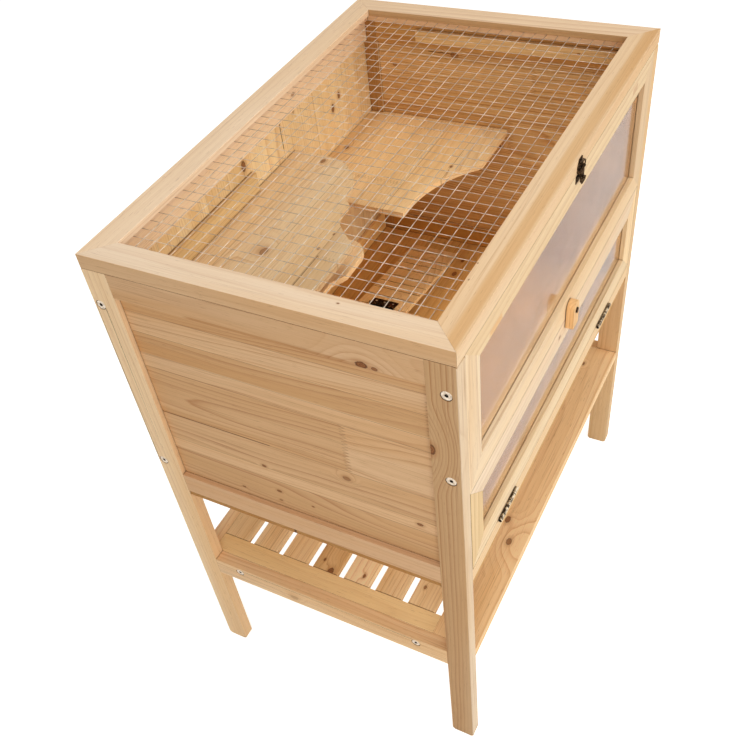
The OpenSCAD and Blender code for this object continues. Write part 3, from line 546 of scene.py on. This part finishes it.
# %% Boards: grain, heart, ring, bend, contrast and knots
# The heart is given across the grain, in millimetres: for grain along X it is (Y, Z), for
# Y it is (X, Z) and for Z it is (X, Y). A wide ring and a near heart make bold figures.
BOARDS = {
    "leg_front_left": ("Z", (20, -70), 6.2, 5, 0.85, [(0, 39, 764, 6.0, 0.9, 2.2)]),
    "leg_front_right": ("Z", (830, -40), 6.0, 5, 0.5, []),
    "leg_rear_left": ("Z", (-60, 560), 5.0, 4, 0.35, []),
    "leg_rear_right": ("Z", (850, 590), 5.5, 5, 0.4, []),
    "left_top_rail": ("Y", (-50, 900), 6.5, 6, 0.6, [(0, 121, 876, 5.4, 0.95, 2.4), (0, 104, 875, 2.8, 0.8)]),
    "left_bottom_rail": ("Y", (-90, 440), 5.0, 4, 0.4, []),
    "right_top_rail": ("Y", (840, 880), 5.0, 5, 0.6, [(768, 300, 880, 3.0, 0.6)]),
    "right_bottom_rail": ("Y", (850, 450), 5.5, 5, 0.45, []),
    "rear_top_rail": ("X", (480, 860), 6.0, 5, 0.5, [(511, 510, 897, 3.5, 0.5)]),
    "rear_bottom_rail": ("X", (600, 430), 6.0, 5, 0.45, []),
    "floor_board": ("X", (260, 300), 7.0, 9, 0.6,
                    [(667, 310, 472, 4.5), (711, 311, 472, 3.2), (330, 90, 472, 4.0)]),
    "front_bottom_rail": ("X", (-40, 430), 6.0, 4, 0.4, []),
    "window_top_rail": ("X", (-60, 930), 6.5, 4, 0.4, []),
    "window_bottom_rail": ("X", (-50, 640), 5.0, 4, 0.5, []),
    "window_left_stile": ("Z", (40, -60), 6.0, 4, 0.5, []),
    "window_right_stile": ("Z", (740, -70), 6.0, 4, 0.45, []),
    "door_top_rail": ("X", (-70, 690), 5.0, 4, 0.45, [(366, 0, 651, 2.6, 0.7)]),
    "door_bottom_rail": ("X", (-55, 480), 5.5, 4, 0.5, []),
    "door_left_stile": ("Z", (60, -50), 6.0, 4, 0.5, []),
    "door_right_stile": ("Z", (735, -60), 6.0, 4, 0.4, []),
    "turn_button": ("Z", (370, -40), 4.5, 4, 0.5, []),
    "lid_front_rail": ("X", (70, 870), 6.5, 5, 0.3, [(118, 36, 934, 0.9, 0.6), (150, 38, 934, 0.9, 0.6)]),
    "lid_rear_rail": ("X", (470, 860), 6.5, 5, 0.35, []),
    "lid_left_rail": ("Y", (60, 860), 7.0, 6, 0.3, [(29, 159, 934, 1.1)]),
    "lid_right_rail": ("Y", (730, 870), 6.5, 5, 0.4, []),
    "right_wall_strip": ("Y", (600, 700), 5.0, 5, 0.5, [(761, 118, 893, 1.6, 0.8)]),
    "rear_wall_strip": ("X", (480, 760), 5.0, 6, 0.6, []),
    "ledge": ("X", (420, 690), 6.5, 8, 0.5, [(262, 325, 735, 3.5)]),
    "landing": ("X", (380, 440), 6.5, 8, 0.5, []),
    "landing_battens": ("Y", (40, 430), 5.0, 4, 0.4, []),
    "platform_cleats": ("X", (500, 700), 5.0, 4, 0.4, []),
    "ramp": ("X", (370, 540), 6.0, 6, 0.5, []),
    "stretcher_left": ("Y", (-45, 228), 7.5, 14, 0.8, [(0, 330, 252, 5.0, 0.3)]),
    "stretcher_right": ("Y", (850, 220), 6.0, 5, 0.5, []),
    "shelf_front_plank": ("X", (60, 215), 8.0, 9, 0.6,
                          [(283, 47, 276, 5.0, 0.8), (239, 28, 276, 5.0, 0.7, 2.6), (713, 52, 276, 3.5)]),
    "shelf_rear_plank": ("X", (560, 230), 6.0, 6, 0.5, []),
    "shelf_side_planks": ("Y", (30, 215), 7.5, 10, 0.55, []),
}
print("knots in boards:", sum(len(board[5]) for board in BOARDS.values()))

# %% [markdown]
# A few boards change within themselves: a bright streak, a stain, a crack, or a dark end.
# Each patch is a soft box that scales the colour. Other patches are painted light and
# shade: a whole face lightened or darkened for the light that falls on it, the boards on
# the right darkened inside the cage, and dark lines of painted shadow in narrow gaps.

# %% Patches of the boards: limits in millimetres, a colour factor and an amount
PATCHES = {
    # Painted shade: the outer face of the left lid rail and the inner faces of the boards on the right are
    # darkened for the shade on them.
    "lid_left_rail": [((("X", -9, 0.5, 0.2),), (0.80, 0.66, 0.50), 1.0)],
    "lid_right_rail": [((("X", 700, 750.5, 0.2),), (0.64, 0.54, 0.40), 1.0)],
    "leg_rear_right": [((("X", 700, 768.5, 0.2),), (0.54, 0.40, 0.23), 1.0)],
    "right_top_rail": [((("X", 700, 768.5, 0.2),), (0.75, 0.62, 0.39), 1.0)],
    "right_bottom_rail": [((("X", 700, 768.5, 0.2),), (0.67, 0.49, 0.22), 1.0)],
    # Painted light: the inner face of the rear bottom rail and the front face of the front left leg are lightened
    # for the light on them.
    "rear_bottom_rail": [((("Y", 400, 510.5, 0.2),), (1.13, 1.15, 0.96), 1.0)],
    "leg_front_left": [((("Y", -9, 1.0, 0.3),), (1.30, 1.58, 2.05), 1.0)],
    "lid_front_rail": [((("Y", 4, 20, 3.0), ("Z", 930, 940, 0.5)), (0.89, 0.79, 0.65), 1.0)],
    "floor_board": [((("X", -9, 2.6, 0.3),), (0.62, 0.50, 0.40), 0.9),
                    ((("X", -9, 2.6, 0.3), ("Y", 286, 290, 0.4)), (0.25, 0.2, 0.18), 1.0)],
    # Painted shadow: a dark line along the top of the rear wall strip, in the gap against the rear wall.
    "rear_wall_strip": [((("Z", 835, 840, 0.3), ("X", 130, 380, 1.0), ("Y", 513.6, 520, 0.3)),
                         (0.40, 0.31, 0.24), 0.9)],
    "left_top_rail": [((("Y", 136, 380, 9.0), ("Z", 871, 877, 1.0)), (0.74, 0.60, 0.44), 0.8)],
    "window_top_rail": [((("X", 657, 681, 1.2), ("Z", 889, 899, 0.9)), (0.84, 0.72, 0.68), 0.9),
                        ((("X", 92, 130, 3.0), ("Z", 877, 886, 1.0)), (0.95, 0.72, 0.50), 0.7)],
}
print("boards with patches:", len(PATCHES))

# %% [markdown]
# The walls and the platforms are glued up from strips, so each strip needs its own tone
# and its own place in a trunk. Finger joints show as short zigzags where a strip is
# made of two pieces.

# %% Glued panels
# As a board has, then the axis and the edges of the strips, a tone for each, and odd
# pieces of a strip: (from, to, lower, upper, tone), and a heart of their own if they need it.
PANELS = {
    "left_panel": ("Y", (-40, 800), 3.6, 5, 0.7,
                   [(9, 321, 599, 2.6), (9, 373, 527, 2.0), (9, 305, 548, 2.8), (9, 306, 526, 2.0, 0.6),
                    (9, 178, 635, 4.2, 0.6), (9, 70, 586, 3.2), (9, 248, 538, 1.6)],
                   ("Z", 505, 572, 596, 651, 745, 771, 811, 847, 875),
                   (0.40, 1.30, 0.62, 0.60, 0.80, 0.28, 0.72, 0.42),
                   [(-40, 176, 651, 745, 0.85, -120, 690), (176, 560, 651, 745, 0.5, -26, 697),
                    (-40, 47, 771, 838, 0.30)]),
    "right_panel": ("Y", (830, 800), 4.6, 10, 1.15,
                    [(781, 436, 881, 3.0), (772, 459, 830, 3.0, 0.6), (772, 341, 861, 5.0, 0.6),
                     (772, 260, 700, 4.0)],
                    ("Z", 505, 590, 670, 752, 806, 852, 875), (0.3, 0.55, 0.35, 0.6, 0.8, 0.45),
                    [(200, 520, 806, 852, 0.95), (-40, 240, 670, 752, 0.75)]),
    "rear_panel": ("Z", (560, 480), 5.0, 8, 0.55,
                   [(354, 515.5, 856, 6.0), (658, 515.5, 821, 4.0), (633, 515.5, 809, 5.0), (247, 515.5, 829, 1.3),
                    (168, 515.5, 828, 1.3), (511, 515.5, 868, 3.5, 0.5)],
                   ("X", 15, 128, 251, 352, 467, 574, 690, 775), (0.7, 0.9, 0.6, 0.85, 0.7, 0.95, 0.8), []),
    "upper_platform": ("X", (380, 770), 6.5, 9, 0.55,
                       [(480, 451, 804, 4.0, 0.7), (232, 414, 804, 6.0, 0.6, 1.8), (265, 339, 804, 1.8),
                        (304, 334, 804, 1.6)],
                       ("Y", 280, 333, 402, 470, 530), (0.8, 1.0, 0.7, 0.95), [(150, 250, 280, 333, 0.7)]),
    "middle_platform": ("X", (560, 700), 5.0, 8, 0.7,
                        [(634, 498, 735, 4.0), (630, 290, 735, 2.4)],
                        ("Y", 225, 290, 347, 400, 466, 530), (0.7, 1.0, 0.8, 0.95, 0.5),
                        [(560, 740, 347, 466, 0.95)]),
}
print("knots in panels:", sum(len(panel[5]) for panel in PANELS.values()))

# %% Patches of the panels
PANEL_PATCHES = {
    "left_panel": [((("Z", 810, 813, 0.7),), (1.12, 1.20, 1.28), 0.8),
                   ((("Z", 770, 772.5, 0.7),), (1.12, 1.20, 1.28), 0.8),
                   ((("Z", 665, 676, 3.0), ("Y", 176, 500, 2.0)), (1.08, 1.12, 1.18), 0.8),
                   ((("Z", 651.2, 652.6, 0.15), ("Y", 300, 492, 0.6)), (0.30, 0.22, 0.16), 1.0)],
    "right_panel": [((("Z", 861.5, 863, 0.2), ("Y", 340, 390, 0.6)), (0.25, 0.2, 0.16), 1.0)],
    "rear_panel": [((("X", 466, 468, 0.2), ("Z", 823, 872, 0.5)), (0.3, 0.25, 0.2), 1.0)],
    "upper_platform": [((("Y", 330.5, 332, 0.2), ("X", 158, 250, 0.6)), (0.35, 0.28, 0.22), 1.0),
                       # Painted shadow: the second patch is a dark line along the rear edge, in the gap against
                       # the rear wall.
                       ((("Y", 514.2, 520, 0.3), ("X", 371, 500, 1.0)), (0.40, 0.31, 0.24), 0.9)],
}
print("panels with patches:", len(PANEL_PATCHES))

# %% One material for every board
for count, (name, (along, heart, ring, bend, contrast, knots)) in enumerate(BOARDS.items()):
    nodes[name].data.materials[0] = pine(
        "pine_" + name, along, tint(*WOOD[name]), heart, ring, bend, count * 3 + 1, contrast, knots,
        patches=PATCHES.get(name, ()))
for count, (name, panel) in enumerate(PANELS.items()):
    along, heart, ring, bend, contrast, knots, strips, tones, staves = panel
    nodes[name].data.materials[0] = pine(
        "pine_" + name, along, tint(*WOOD[name]), heart, ring, bend, count * 5 + 160, contrast, knots,
        strips, tones, staves, PANEL_PATCHES.get(name, ()))
print("boards:", len(BOARDS), "panels:", len(PANELS))

# %% [markdown]
# The seven slats of the shelf are seven different boards in one CAD node: each has its
# own colour. One material with a strip for each slat does it, and the strip edges fall in
# the gaps.

# %% Shelf slats
SLAT_PITCH = 431 / 7
slat_edges = [75 + i * SLAT_PITCH + 6 for i in range(7)] + [506]
SLAT_TONES = (0.85, 0.45, 1.0, 0.0, 0.9, 0.95, 0.55)
nodes["shelf_slats"].data.materials[0] = pine(
    "pine_shelf_slats", "X", tint(*WOOD["shelf_slats"]), (300, 230), 4.2, 5, 77, 0.6,
    [(96, 122, 276, 2.6, 0.7), (75, 228, 276, 2.6), (60, 287, 276, 5.4), (78, 308, 276, 2.2),
     (120, 383, 276, 4.0, 0.7), (430, 150, 276, 5.0), (600, 330, 276, 4.0)], ("Y", *slat_edges), SLAT_TONES,
    # Painted shadow: a dark band at the slats' left ends, in the joint with the side plank.
    patches=[((("X", 50, 58.1, 0.3),), (0.34, 0.26, 0.20), 0.9)])
print("slats at", [round(e) for e in slat_edges])

# %% [markdown]
# ## Metal and clear sheet
# The hinges and the latch are dark bronze, and the door's two hinges are rubbed so light
# that they glint. The bolts are bright zinc, and the net is dull galvanised wire. Metal
# has its colour in its reflection, so noise moves its colour and its gloss together.

# %% Metals


def metal(name, dark, light, rough, scale, metallic=1.0, edge=(1.0, 1.0, 1.0, 1.0)):
    """Metal whose colour and gloss wander between two values; edge tints flat glances."""
    made, tree, shader = fresh(name)
    place = wire(tree, "TexCoord").outputs["Object"]
    patch = wire(tree, "TexNoise", {"Vector": place, "Scale": scale, "Detail": 4.0, "Roughness": 0.6}).outputs[0]
    spread = span(tree, patch, 0.38, 0.66)
    tree.links.new(blend_colour(tree, spread, dark, light), shader.inputs["Base Color"])
    tree.links.new(span(tree, patch, 0.3, 0.7, rough[0], rough[1], False), shader.inputs["Roughness"])
    shader.inputs["Metallic"].default_value = metallic
    shader.inputs["Specular Tint"].default_value = edge
    relief = wire(tree, "Bump", {"Strength": 0.2, "Distance": 0.0003, "Height": patch})
    tree.links.new(relief.outputs[0], shader.inputs["Normal"])
    return made


worn_bronze = metal("worn_bronze", tint(58, 44, 33), tint(216, 198, 170), (0.28, 0.42), 170.0, 0.9,
                    (0.7, 0.62, 0.52, 1.0))
bronze = metal("aged_bronze", tint(26, 20, 16), tint(104, 84, 66), (0.26, 0.50), 340.0, 0.95,
               (0.45, 0.38, 0.32, 1.0))
zinc = metal("bright_zinc", tint(176, 160, 140), tint(228, 214, 196), (0.26, 0.42), 300.0)
galvanised = metal("galvanised_wire", tint(176, 158, 138), tint(230, 214, 194), (0.40, 0.55), 60.0, 0.35)
# Painted shade: this near-black metal fills the bolt sockets, the gap round each bolt head and the joints of the
# door hinges, where there is only shade. It is also the pins' own dark steel.
dark_steel_and_shade = metal("dark_steel_and_painted_shade", tint(20, 17, 15), tint(48, 42, 36), (0.55, 0.7), 400.0, 0.9,
                    (0.3, 0.27, 0.24, 1.0))
for name in nodes:
    if "hinge" in name or name.startswith("latch") or name == "turn_button_screw":
        nodes[name].data.materials[0] = bronze
    if name.startswith("door_hinge"):
        nodes[name].data.materials[0] = worn_bronze
    if name.startswith("bolts"):
        nodes[name].data.materials[0] = zinc
nodes["lid_net"].data.materials[0] = galvanised
print("metals:", bronze.name, zinc.name, galvanised.name)

# %% [markdown]
# The sheets mirror the strips that they stand in, but the room behind them is only a
# brown haze: fine wiping marks scatter what comes through. So a sheet gets a rough body
# under a thin, sharp gloss.

# %% Clear sheets
SHEET_ROUGH = (0.16, 0.26)
SHEET_IOR, GLOSS, GLOSS_IOR = 1.1, 0.35, 1.2
SHEET_TINTS = tint(244, 234, 222), tint(230, 216, 202)
clear, tree, shader = fresh("clear_sheet")
place = wire(tree, "TexCoord").outputs["Object"]
wipe = wire(tree, "TexNoise", {"Vector": place, "Scale": 7.0, "Detail": 3.0, "Distortion": 0.6}).outputs[0]
tree.links.new(blend_colour(tree, wipe, *SHEET_TINTS), shader.inputs["Base Color"])
tree.links.new(span(tree, wipe, 0.35, 0.7, *SHEET_ROUGH), shader.inputs["Roughness"])
shader.inputs["Transmission Weight"].default_value = 1.0
shader.inputs["IOR"].default_value = SHEET_IOR
shader.inputs["Coat Weight"].default_value = GLOSS
shader.inputs["Coat Roughness"].default_value = 0.02
shader.inputs["Coat IOR"].default_value = GLOSS_IOR
for name in ("window_pane", "door_pane"):
    nodes[name].data.materials[0] = clear
    nodes[name].visible_shadow = False
print("sheet roughness wanders from", SHEET_ROUGH[0], "to", SHEET_ROUGH[1])

# %% [markdown]
# ## Softer edges
# Planed boards have their sharp edges broken by a touch of sandpaper. A bevel of under a
# millimetre catches the light along every edge and opens a fine line at each joint. The
# CAD mesh is loose triangles, so a weld comes first in the stack.

# %% Bevels on the boards
EASED, EASED_THIN = 0.7, 0.35
THIN = ("lid_front_rail", "window_top_rail")


def ease_edges(name, width):
    """Weld and bevel modifiers on a CAD node; its own mesh stays as it is."""
    weld = nodes[name].modifiers.new("join_faces", "WELD")
    weld.merge_threshold = 0.00002
    bevel = nodes[name].modifiers.new("broken_edges", "BEVEL")
    bevel.width, bevel.segments, bevel.limit_method = width * MM, 2, "ANGLE"
    bevel.angle_limit = math.radians(35)
    bevel.use_clamp_overlap = True


for name in [*BOARDS, *PANELS, "shelf_slats"]:
    thin = "panel" in name or "platform" in name or name in THIN
    ease_edges(name, EASED_THIN if thin else EASED)
print("bevels:", sum(1 for o in nodes.values() if o.modifiers))

# %% [markdown]
# ## New pieces
# Each new piece starts as an empty bmesh, gets its shape from operators, and ends as an
# object at the origin that rides on a body of the frame.

# %% From bmesh to piece


def finish_piece(shape, name, body, material, smooth=False):
    """Turns a bmesh into an object that rides on a body."""
    mesh = bpy.data.meshes.new(name)
    shape.to_mesh(mesh)
    shape.free()
    mesh.materials.append(material)
    for face in mesh.polygons:
        face.use_smooth = smooth
    piece = bpy.data.objects.new(name, mesh)
    scene.collection.objects.link(piece)
    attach(piece, body)
    print(name, "has", len(mesh.polygons), "faces")
    return piece


# %% [markdown]
# ### Turned forms
# Screw heads, bolt sockets and hinge collars are all round, so a lathe could make them: an
# outline is spun about an axis. One function turns an outline in its own small bmesh and
# adds the form to a larger piece, at its place and facing its way.

# %% A lathe
SCREW_OUTLINE = ((0.0, 0.5), (0.28, 0.5), (0.34, 0.96), (0.62, 0.88), (0.88, 0.52), (1.0, 0.15),
                 (1.0, 0.0), (0.0, 0.0))
SOCKET_OUTLINE = ((0.0, 0.45), (0.62, 0.45), (0.84, 0.9), (1.0, 1.0), (1.0, 0.0), (0.0, 0.0))


def turned(shape, place, facing, outline, radius, height, steps=20, ring=False):
    """Adds a turned form to a bmesh. The outline is (share of radius, share of height)."""
    one = bmesh.new()
    verts = [one.verts.new((r * radius * MM, 0.0, h * height * MM)) for r, h in outline]
    edges = [one.edges.new(pair) for pair in zip(verts, verts[1:] + ([verts[0]] if ring else []))]
    bmesh.ops.spin(one, geom=verts + edges, cent=(0, 0, 0), axis=(0, 0, 1), angle=math.tau, steps=steps,
                   use_merge=True)
    bmesh.ops.remove_doubles(one, verts=one.verts, dist=1e-6)
    bmesh.ops.recalc_face_normals(one, faces=one.faces)
    aim = Vector(facing).to_track_quat("Z", "Y").to_matrix().to_4x4()
    one.transform(Matrix.Translation(place) @ aim)
    carrier = bpy.data.meshes.new("carrier")
    one.to_mesh(carrier)
    one.free()
    shape.from_mesh(carrier)
    bpy.data.meshes.remove(carrier)


def screw_set(name, body, spots, facing, radius, height, material=bronze):
    """Domed screws with a driver's recess at several places."""
    shape = bmesh.new()
    for spot in spots:
        turned(shape, at(*spot), facing, SCREW_OUTLINE, radius, height)
    return finish_piece(shape, name, body, material, True)


print("screw outline has", len(SCREW_OUTLINE), "corners")

# %% [markdown]
# ### Bolts
# The frame is held by socket bolts sunk into the legs. The head is a bright ring. A dark
# piece in its socket is painted shade, and a dark ring in the narrow gap round it is
# painted shadow.

# %% Painted shade in the bolt sockets and painted shadow round each head
# Places are (Y, Z). The heads' faces lie 1 mm inside the wood, in a hole a little wider.
BOLT_SPOTS = ((15, 863), (15, 713), (520, 852.6), (520, 535), (96, 263), (441, 263))
SHADOW_RIM_OUTLINE = ((1.0, 0.0), (1.12, 0.0), (1.12, 1.0), (1.0, 1.0))
SOCKET_R, HEAD_R = 2.75, 7.02
for side, x, facing in (("left", 1.9, (-1, 0, 0)), ("right", 788.1, (1, 0, 0))):
    shape = bmesh.new()
    for y, z in BOLT_SPOTS:
        # Painted shade: a dark hex sits in each socket.
        turned(shape, at(x, y, z), facing, SOCKET_OUTLINE, SOCKET_R, 0.8, steps=6)
        # Painted shadow: a dark ring fills the gap round each head.
        turned(shape, at(x, y, z), facing, SHADOW_RIM_OUTLINE, HEAD_R, 0.6, steps=32, ring=True)
    finish_piece(shape, "bolt_socket_shade_" + side, "cage", dark_steel_and_shade)

# %% [markdown]
# ### Screws of the hinges and the latch
# Every leaf is held by small domed screws of the same dark bronze, and the ramp's hinge by
# bright ones. The latch has a bigger one at its top, which catches the light in the
# photograph.

# %% Latch screws
screw_set("latch_plate_screws", "lid", [(399.2, -1.5, 921.5), (410.8, -1.5, 921.5)], (0, -1, 0), 2.3, 1.5)
screw_set("latch_top_knob", "lid", [(405, -1.5, 927.2)], (0, -1, 0), 4.2, 3.6)
screw_set("latch_catch_screws", "cage", [(394.8, -1.0, 905), (415.2, -1.0, 905)], (0, -1, 0), 2.6, 2.2)

# %% [markdown]
# The latch has a short wire bail at its right. Half a ring of wire does it: a small circle
# is spun half a turn, and its upper end sits in a boss on the plate.

# %% Wire bail of the latch
shape = bmesh.new()
bail_at = at(413, -3.5, 919.5)
aim = Matrix.Translation(bail_at + Vector((0, 0, 5.2 * MM)))
bmesh.ops.create_circle(shape, cap_ends=False, segments=10, radius=0.9 * MM,
                        matrix=aim @ Matrix.Rotation(math.pi / 2, 4, "Y"))
bmesh.ops.spin(shape, geom=shape.verts[:] + shape.edges[:], cent=bail_at, axis=(0, 1, 0), angle=math.pi, steps=16)
bmesh.ops.holes_fill(shape, edges=shape.edges[:])
bmesh.ops.recalc_face_normals(shape, faces=shape.faces)
turned(shape, at(413, -1.5, 924.6), (0, -1, 0), SCREW_OUTLINE, 1.9, 3.2)
finish_piece(shape, "latch_bail", "lid", bronze, True)

# %% Lid hinge screws
lid_hinge_x = [left + step for left in (116, 606) for step in (10, 34, 58)]
screw_set("lid_hinge_leaf_screws", "lid", [(x, 531.2, 923) for x in lid_hinge_x], (0, 1, 0), 2.4, 0.9)
screw_set("lid_hinge_fixed_screws", "cage", [(x, 531.2, 901) for x in lid_hinge_x], (0, 1, 0), 2.4, 0.9)

# %% Ramp hinge screws, on the level leaf and on the sloping one
SLOPE = math.radians(8.85)
LEAF_T = 1.2
REACH = 12.5
ramp_hinge_y = (361, 378, 395)
leaf_x = 490.03 + REACH * math.cos(SLOPE) + LEAF_T * math.sin(SLOPE)
leaf_z = 509 - REACH * math.sin(SLOPE) + LEAF_T * math.cos(SLOPE)
screw_set("ramp_hinge_fixed_screws", "cage", [(477.5, y, 509 + LEAF_T) for y in ramp_hinge_y], (0, 0, 1),
          2.2, 0.7, zinc)
screw_set("ramp_hinge_leaf_screws", "ramp", [(leaf_x, y, leaf_z) for y in ramp_hinge_y],
          (math.sin(SLOPE), 0, math.cos(SLOPE)), 2.2, 0.7, zinc)

# %% [markdown]
# ### Collars of the door hinges
# A long hinge is a row of knuckles on one pin. A dark collar over each joint between them
# is painted shade, and the pin ends in a small dark head at each side.

# %% Door hinge collars and pin heads
COLLAR_OUTLINE = ((0.7, 0.0), (1.0, 0.0), (1.04, 0.25), (1.04, 0.75), (1.0, 1.0), (0.7, 1.0))
HEAD_OUTLINE = ((0.0, 1.0), (0.5, 0.86), (0.86, 0.5), (1.0, 0.0), (0.0, 0.0))
KNUCKLE_PITCH, HINGE_LENGTH = 13.68, 68
PIN = (-3.2, 499.2)
shape = bmesh.new()
for left in (118, 578):
    for i in range(1, 5):
        joint = at(left + i * KNUCKLE_PITCH - 1.1, *PIN)
        # Painted shade: a dark collar over each joint between two knuckles.
        turned(shape, joint, (1, 0, 0), COLLAR_OUTLINE, 3.0, 1.8, ring=True)
    turned(shape, at(left, *PIN), (-1, 0, 0), HEAD_OUTLINE, 2.6, 1.6)
    turned(shape, at(left + HINGE_LENGTH, *PIN), (1, 0, 0), HEAD_OUTLINE, 2.6, 1.6)
finish_piece(shape, "door_hinge_joint_shade_and_pins", "cage", dark_steel_and_shade, True)

# %% [markdown]
# ### The wire net
# Welded mesh is two layers of straight wires, one lying on the other, 19 mm apart both
# ways. Real wires are never quite straight, so each one wanders by a fraction of a
# millimetre. The CAD net has half as many, and this net takes its place.

# %% Net
WIRE = 0.95
PITCH = 19.05
LAYER = 0.55
STRAY = (0.25, 0.25, 0.12)
net_low, net_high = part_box("lid_net")
net_mid = (net_low + net_high) / 2
dice = random.Random(5)


def lay_wire(shape, start, end, steps=14):
    """One wire: a ring of six corners pushed along its line in steps."""
    line = end - start
    turn = line.to_track_quat("Z", "Y").to_matrix().to_4x4()
    ring = bmesh.ops.create_circle(shape, cap_ends=True, segments=6, radius=WIRE / 2 * MM,
                                   matrix=Matrix.Translation(start) @ turn)
    edges = list(dict.fromkeys(e for v in ring["verts"] for e in v.link_edges))
    for i in range(steps):
        grown = bmesh.ops.extrude_edge_only(shape, edges=edges)["geom"]
        verts = [g for g in grown if isinstance(g, bmesh.types.BMVert)]
        edges = [g for g in grown if isinstance(g, bmesh.types.BMEdge)]
        edges = [e for e in edges if all(v in verts for v in e.verts)]
        stray = Vector([dice.uniform(-s, s) for s in STRAY]) * MM
        goal = start + line * ((i + 1) / steps) + (stray if i < steps - 1 else Vector())
        centre = sum((v.co for v in verts), Vector()) / len(verts)
        bmesh.ops.translate(shape, verts=verts, vec=goal - centre)
    bmesh.ops.contextual_create(shape, geom=edges)


net = bmesh.new()
size = (net_high - net_low) / MM
rows, columns = int(size.y / PITCH), int(size.x / PITCH)
upper, lower = net_mid.z + LAYER * MM, net_mid.z - LAYER * MM
for i in range(rows + 1):
    y = net_mid.y + (i - rows / 2) * PITCH * MM
    lay_wire(net, Vector((net_low.x, y, upper)), Vector((net_high.x, y, upper)), 20)
for i in range(columns + 1):
    x = net_mid.x + (i - columns / 2) * PITCH * MM
    lay_wire(net, Vector((x, net_low.y, lower)), Vector((x, net_high.y, lower)))
bmesh.ops.recalc_face_normals(net, faces=net.faces)
wires = finish_piece(net, "lid_net_wires", "lid", galvanised, True)
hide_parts("lid_net")
print("wires:", rows + 1, "by", columns + 1)
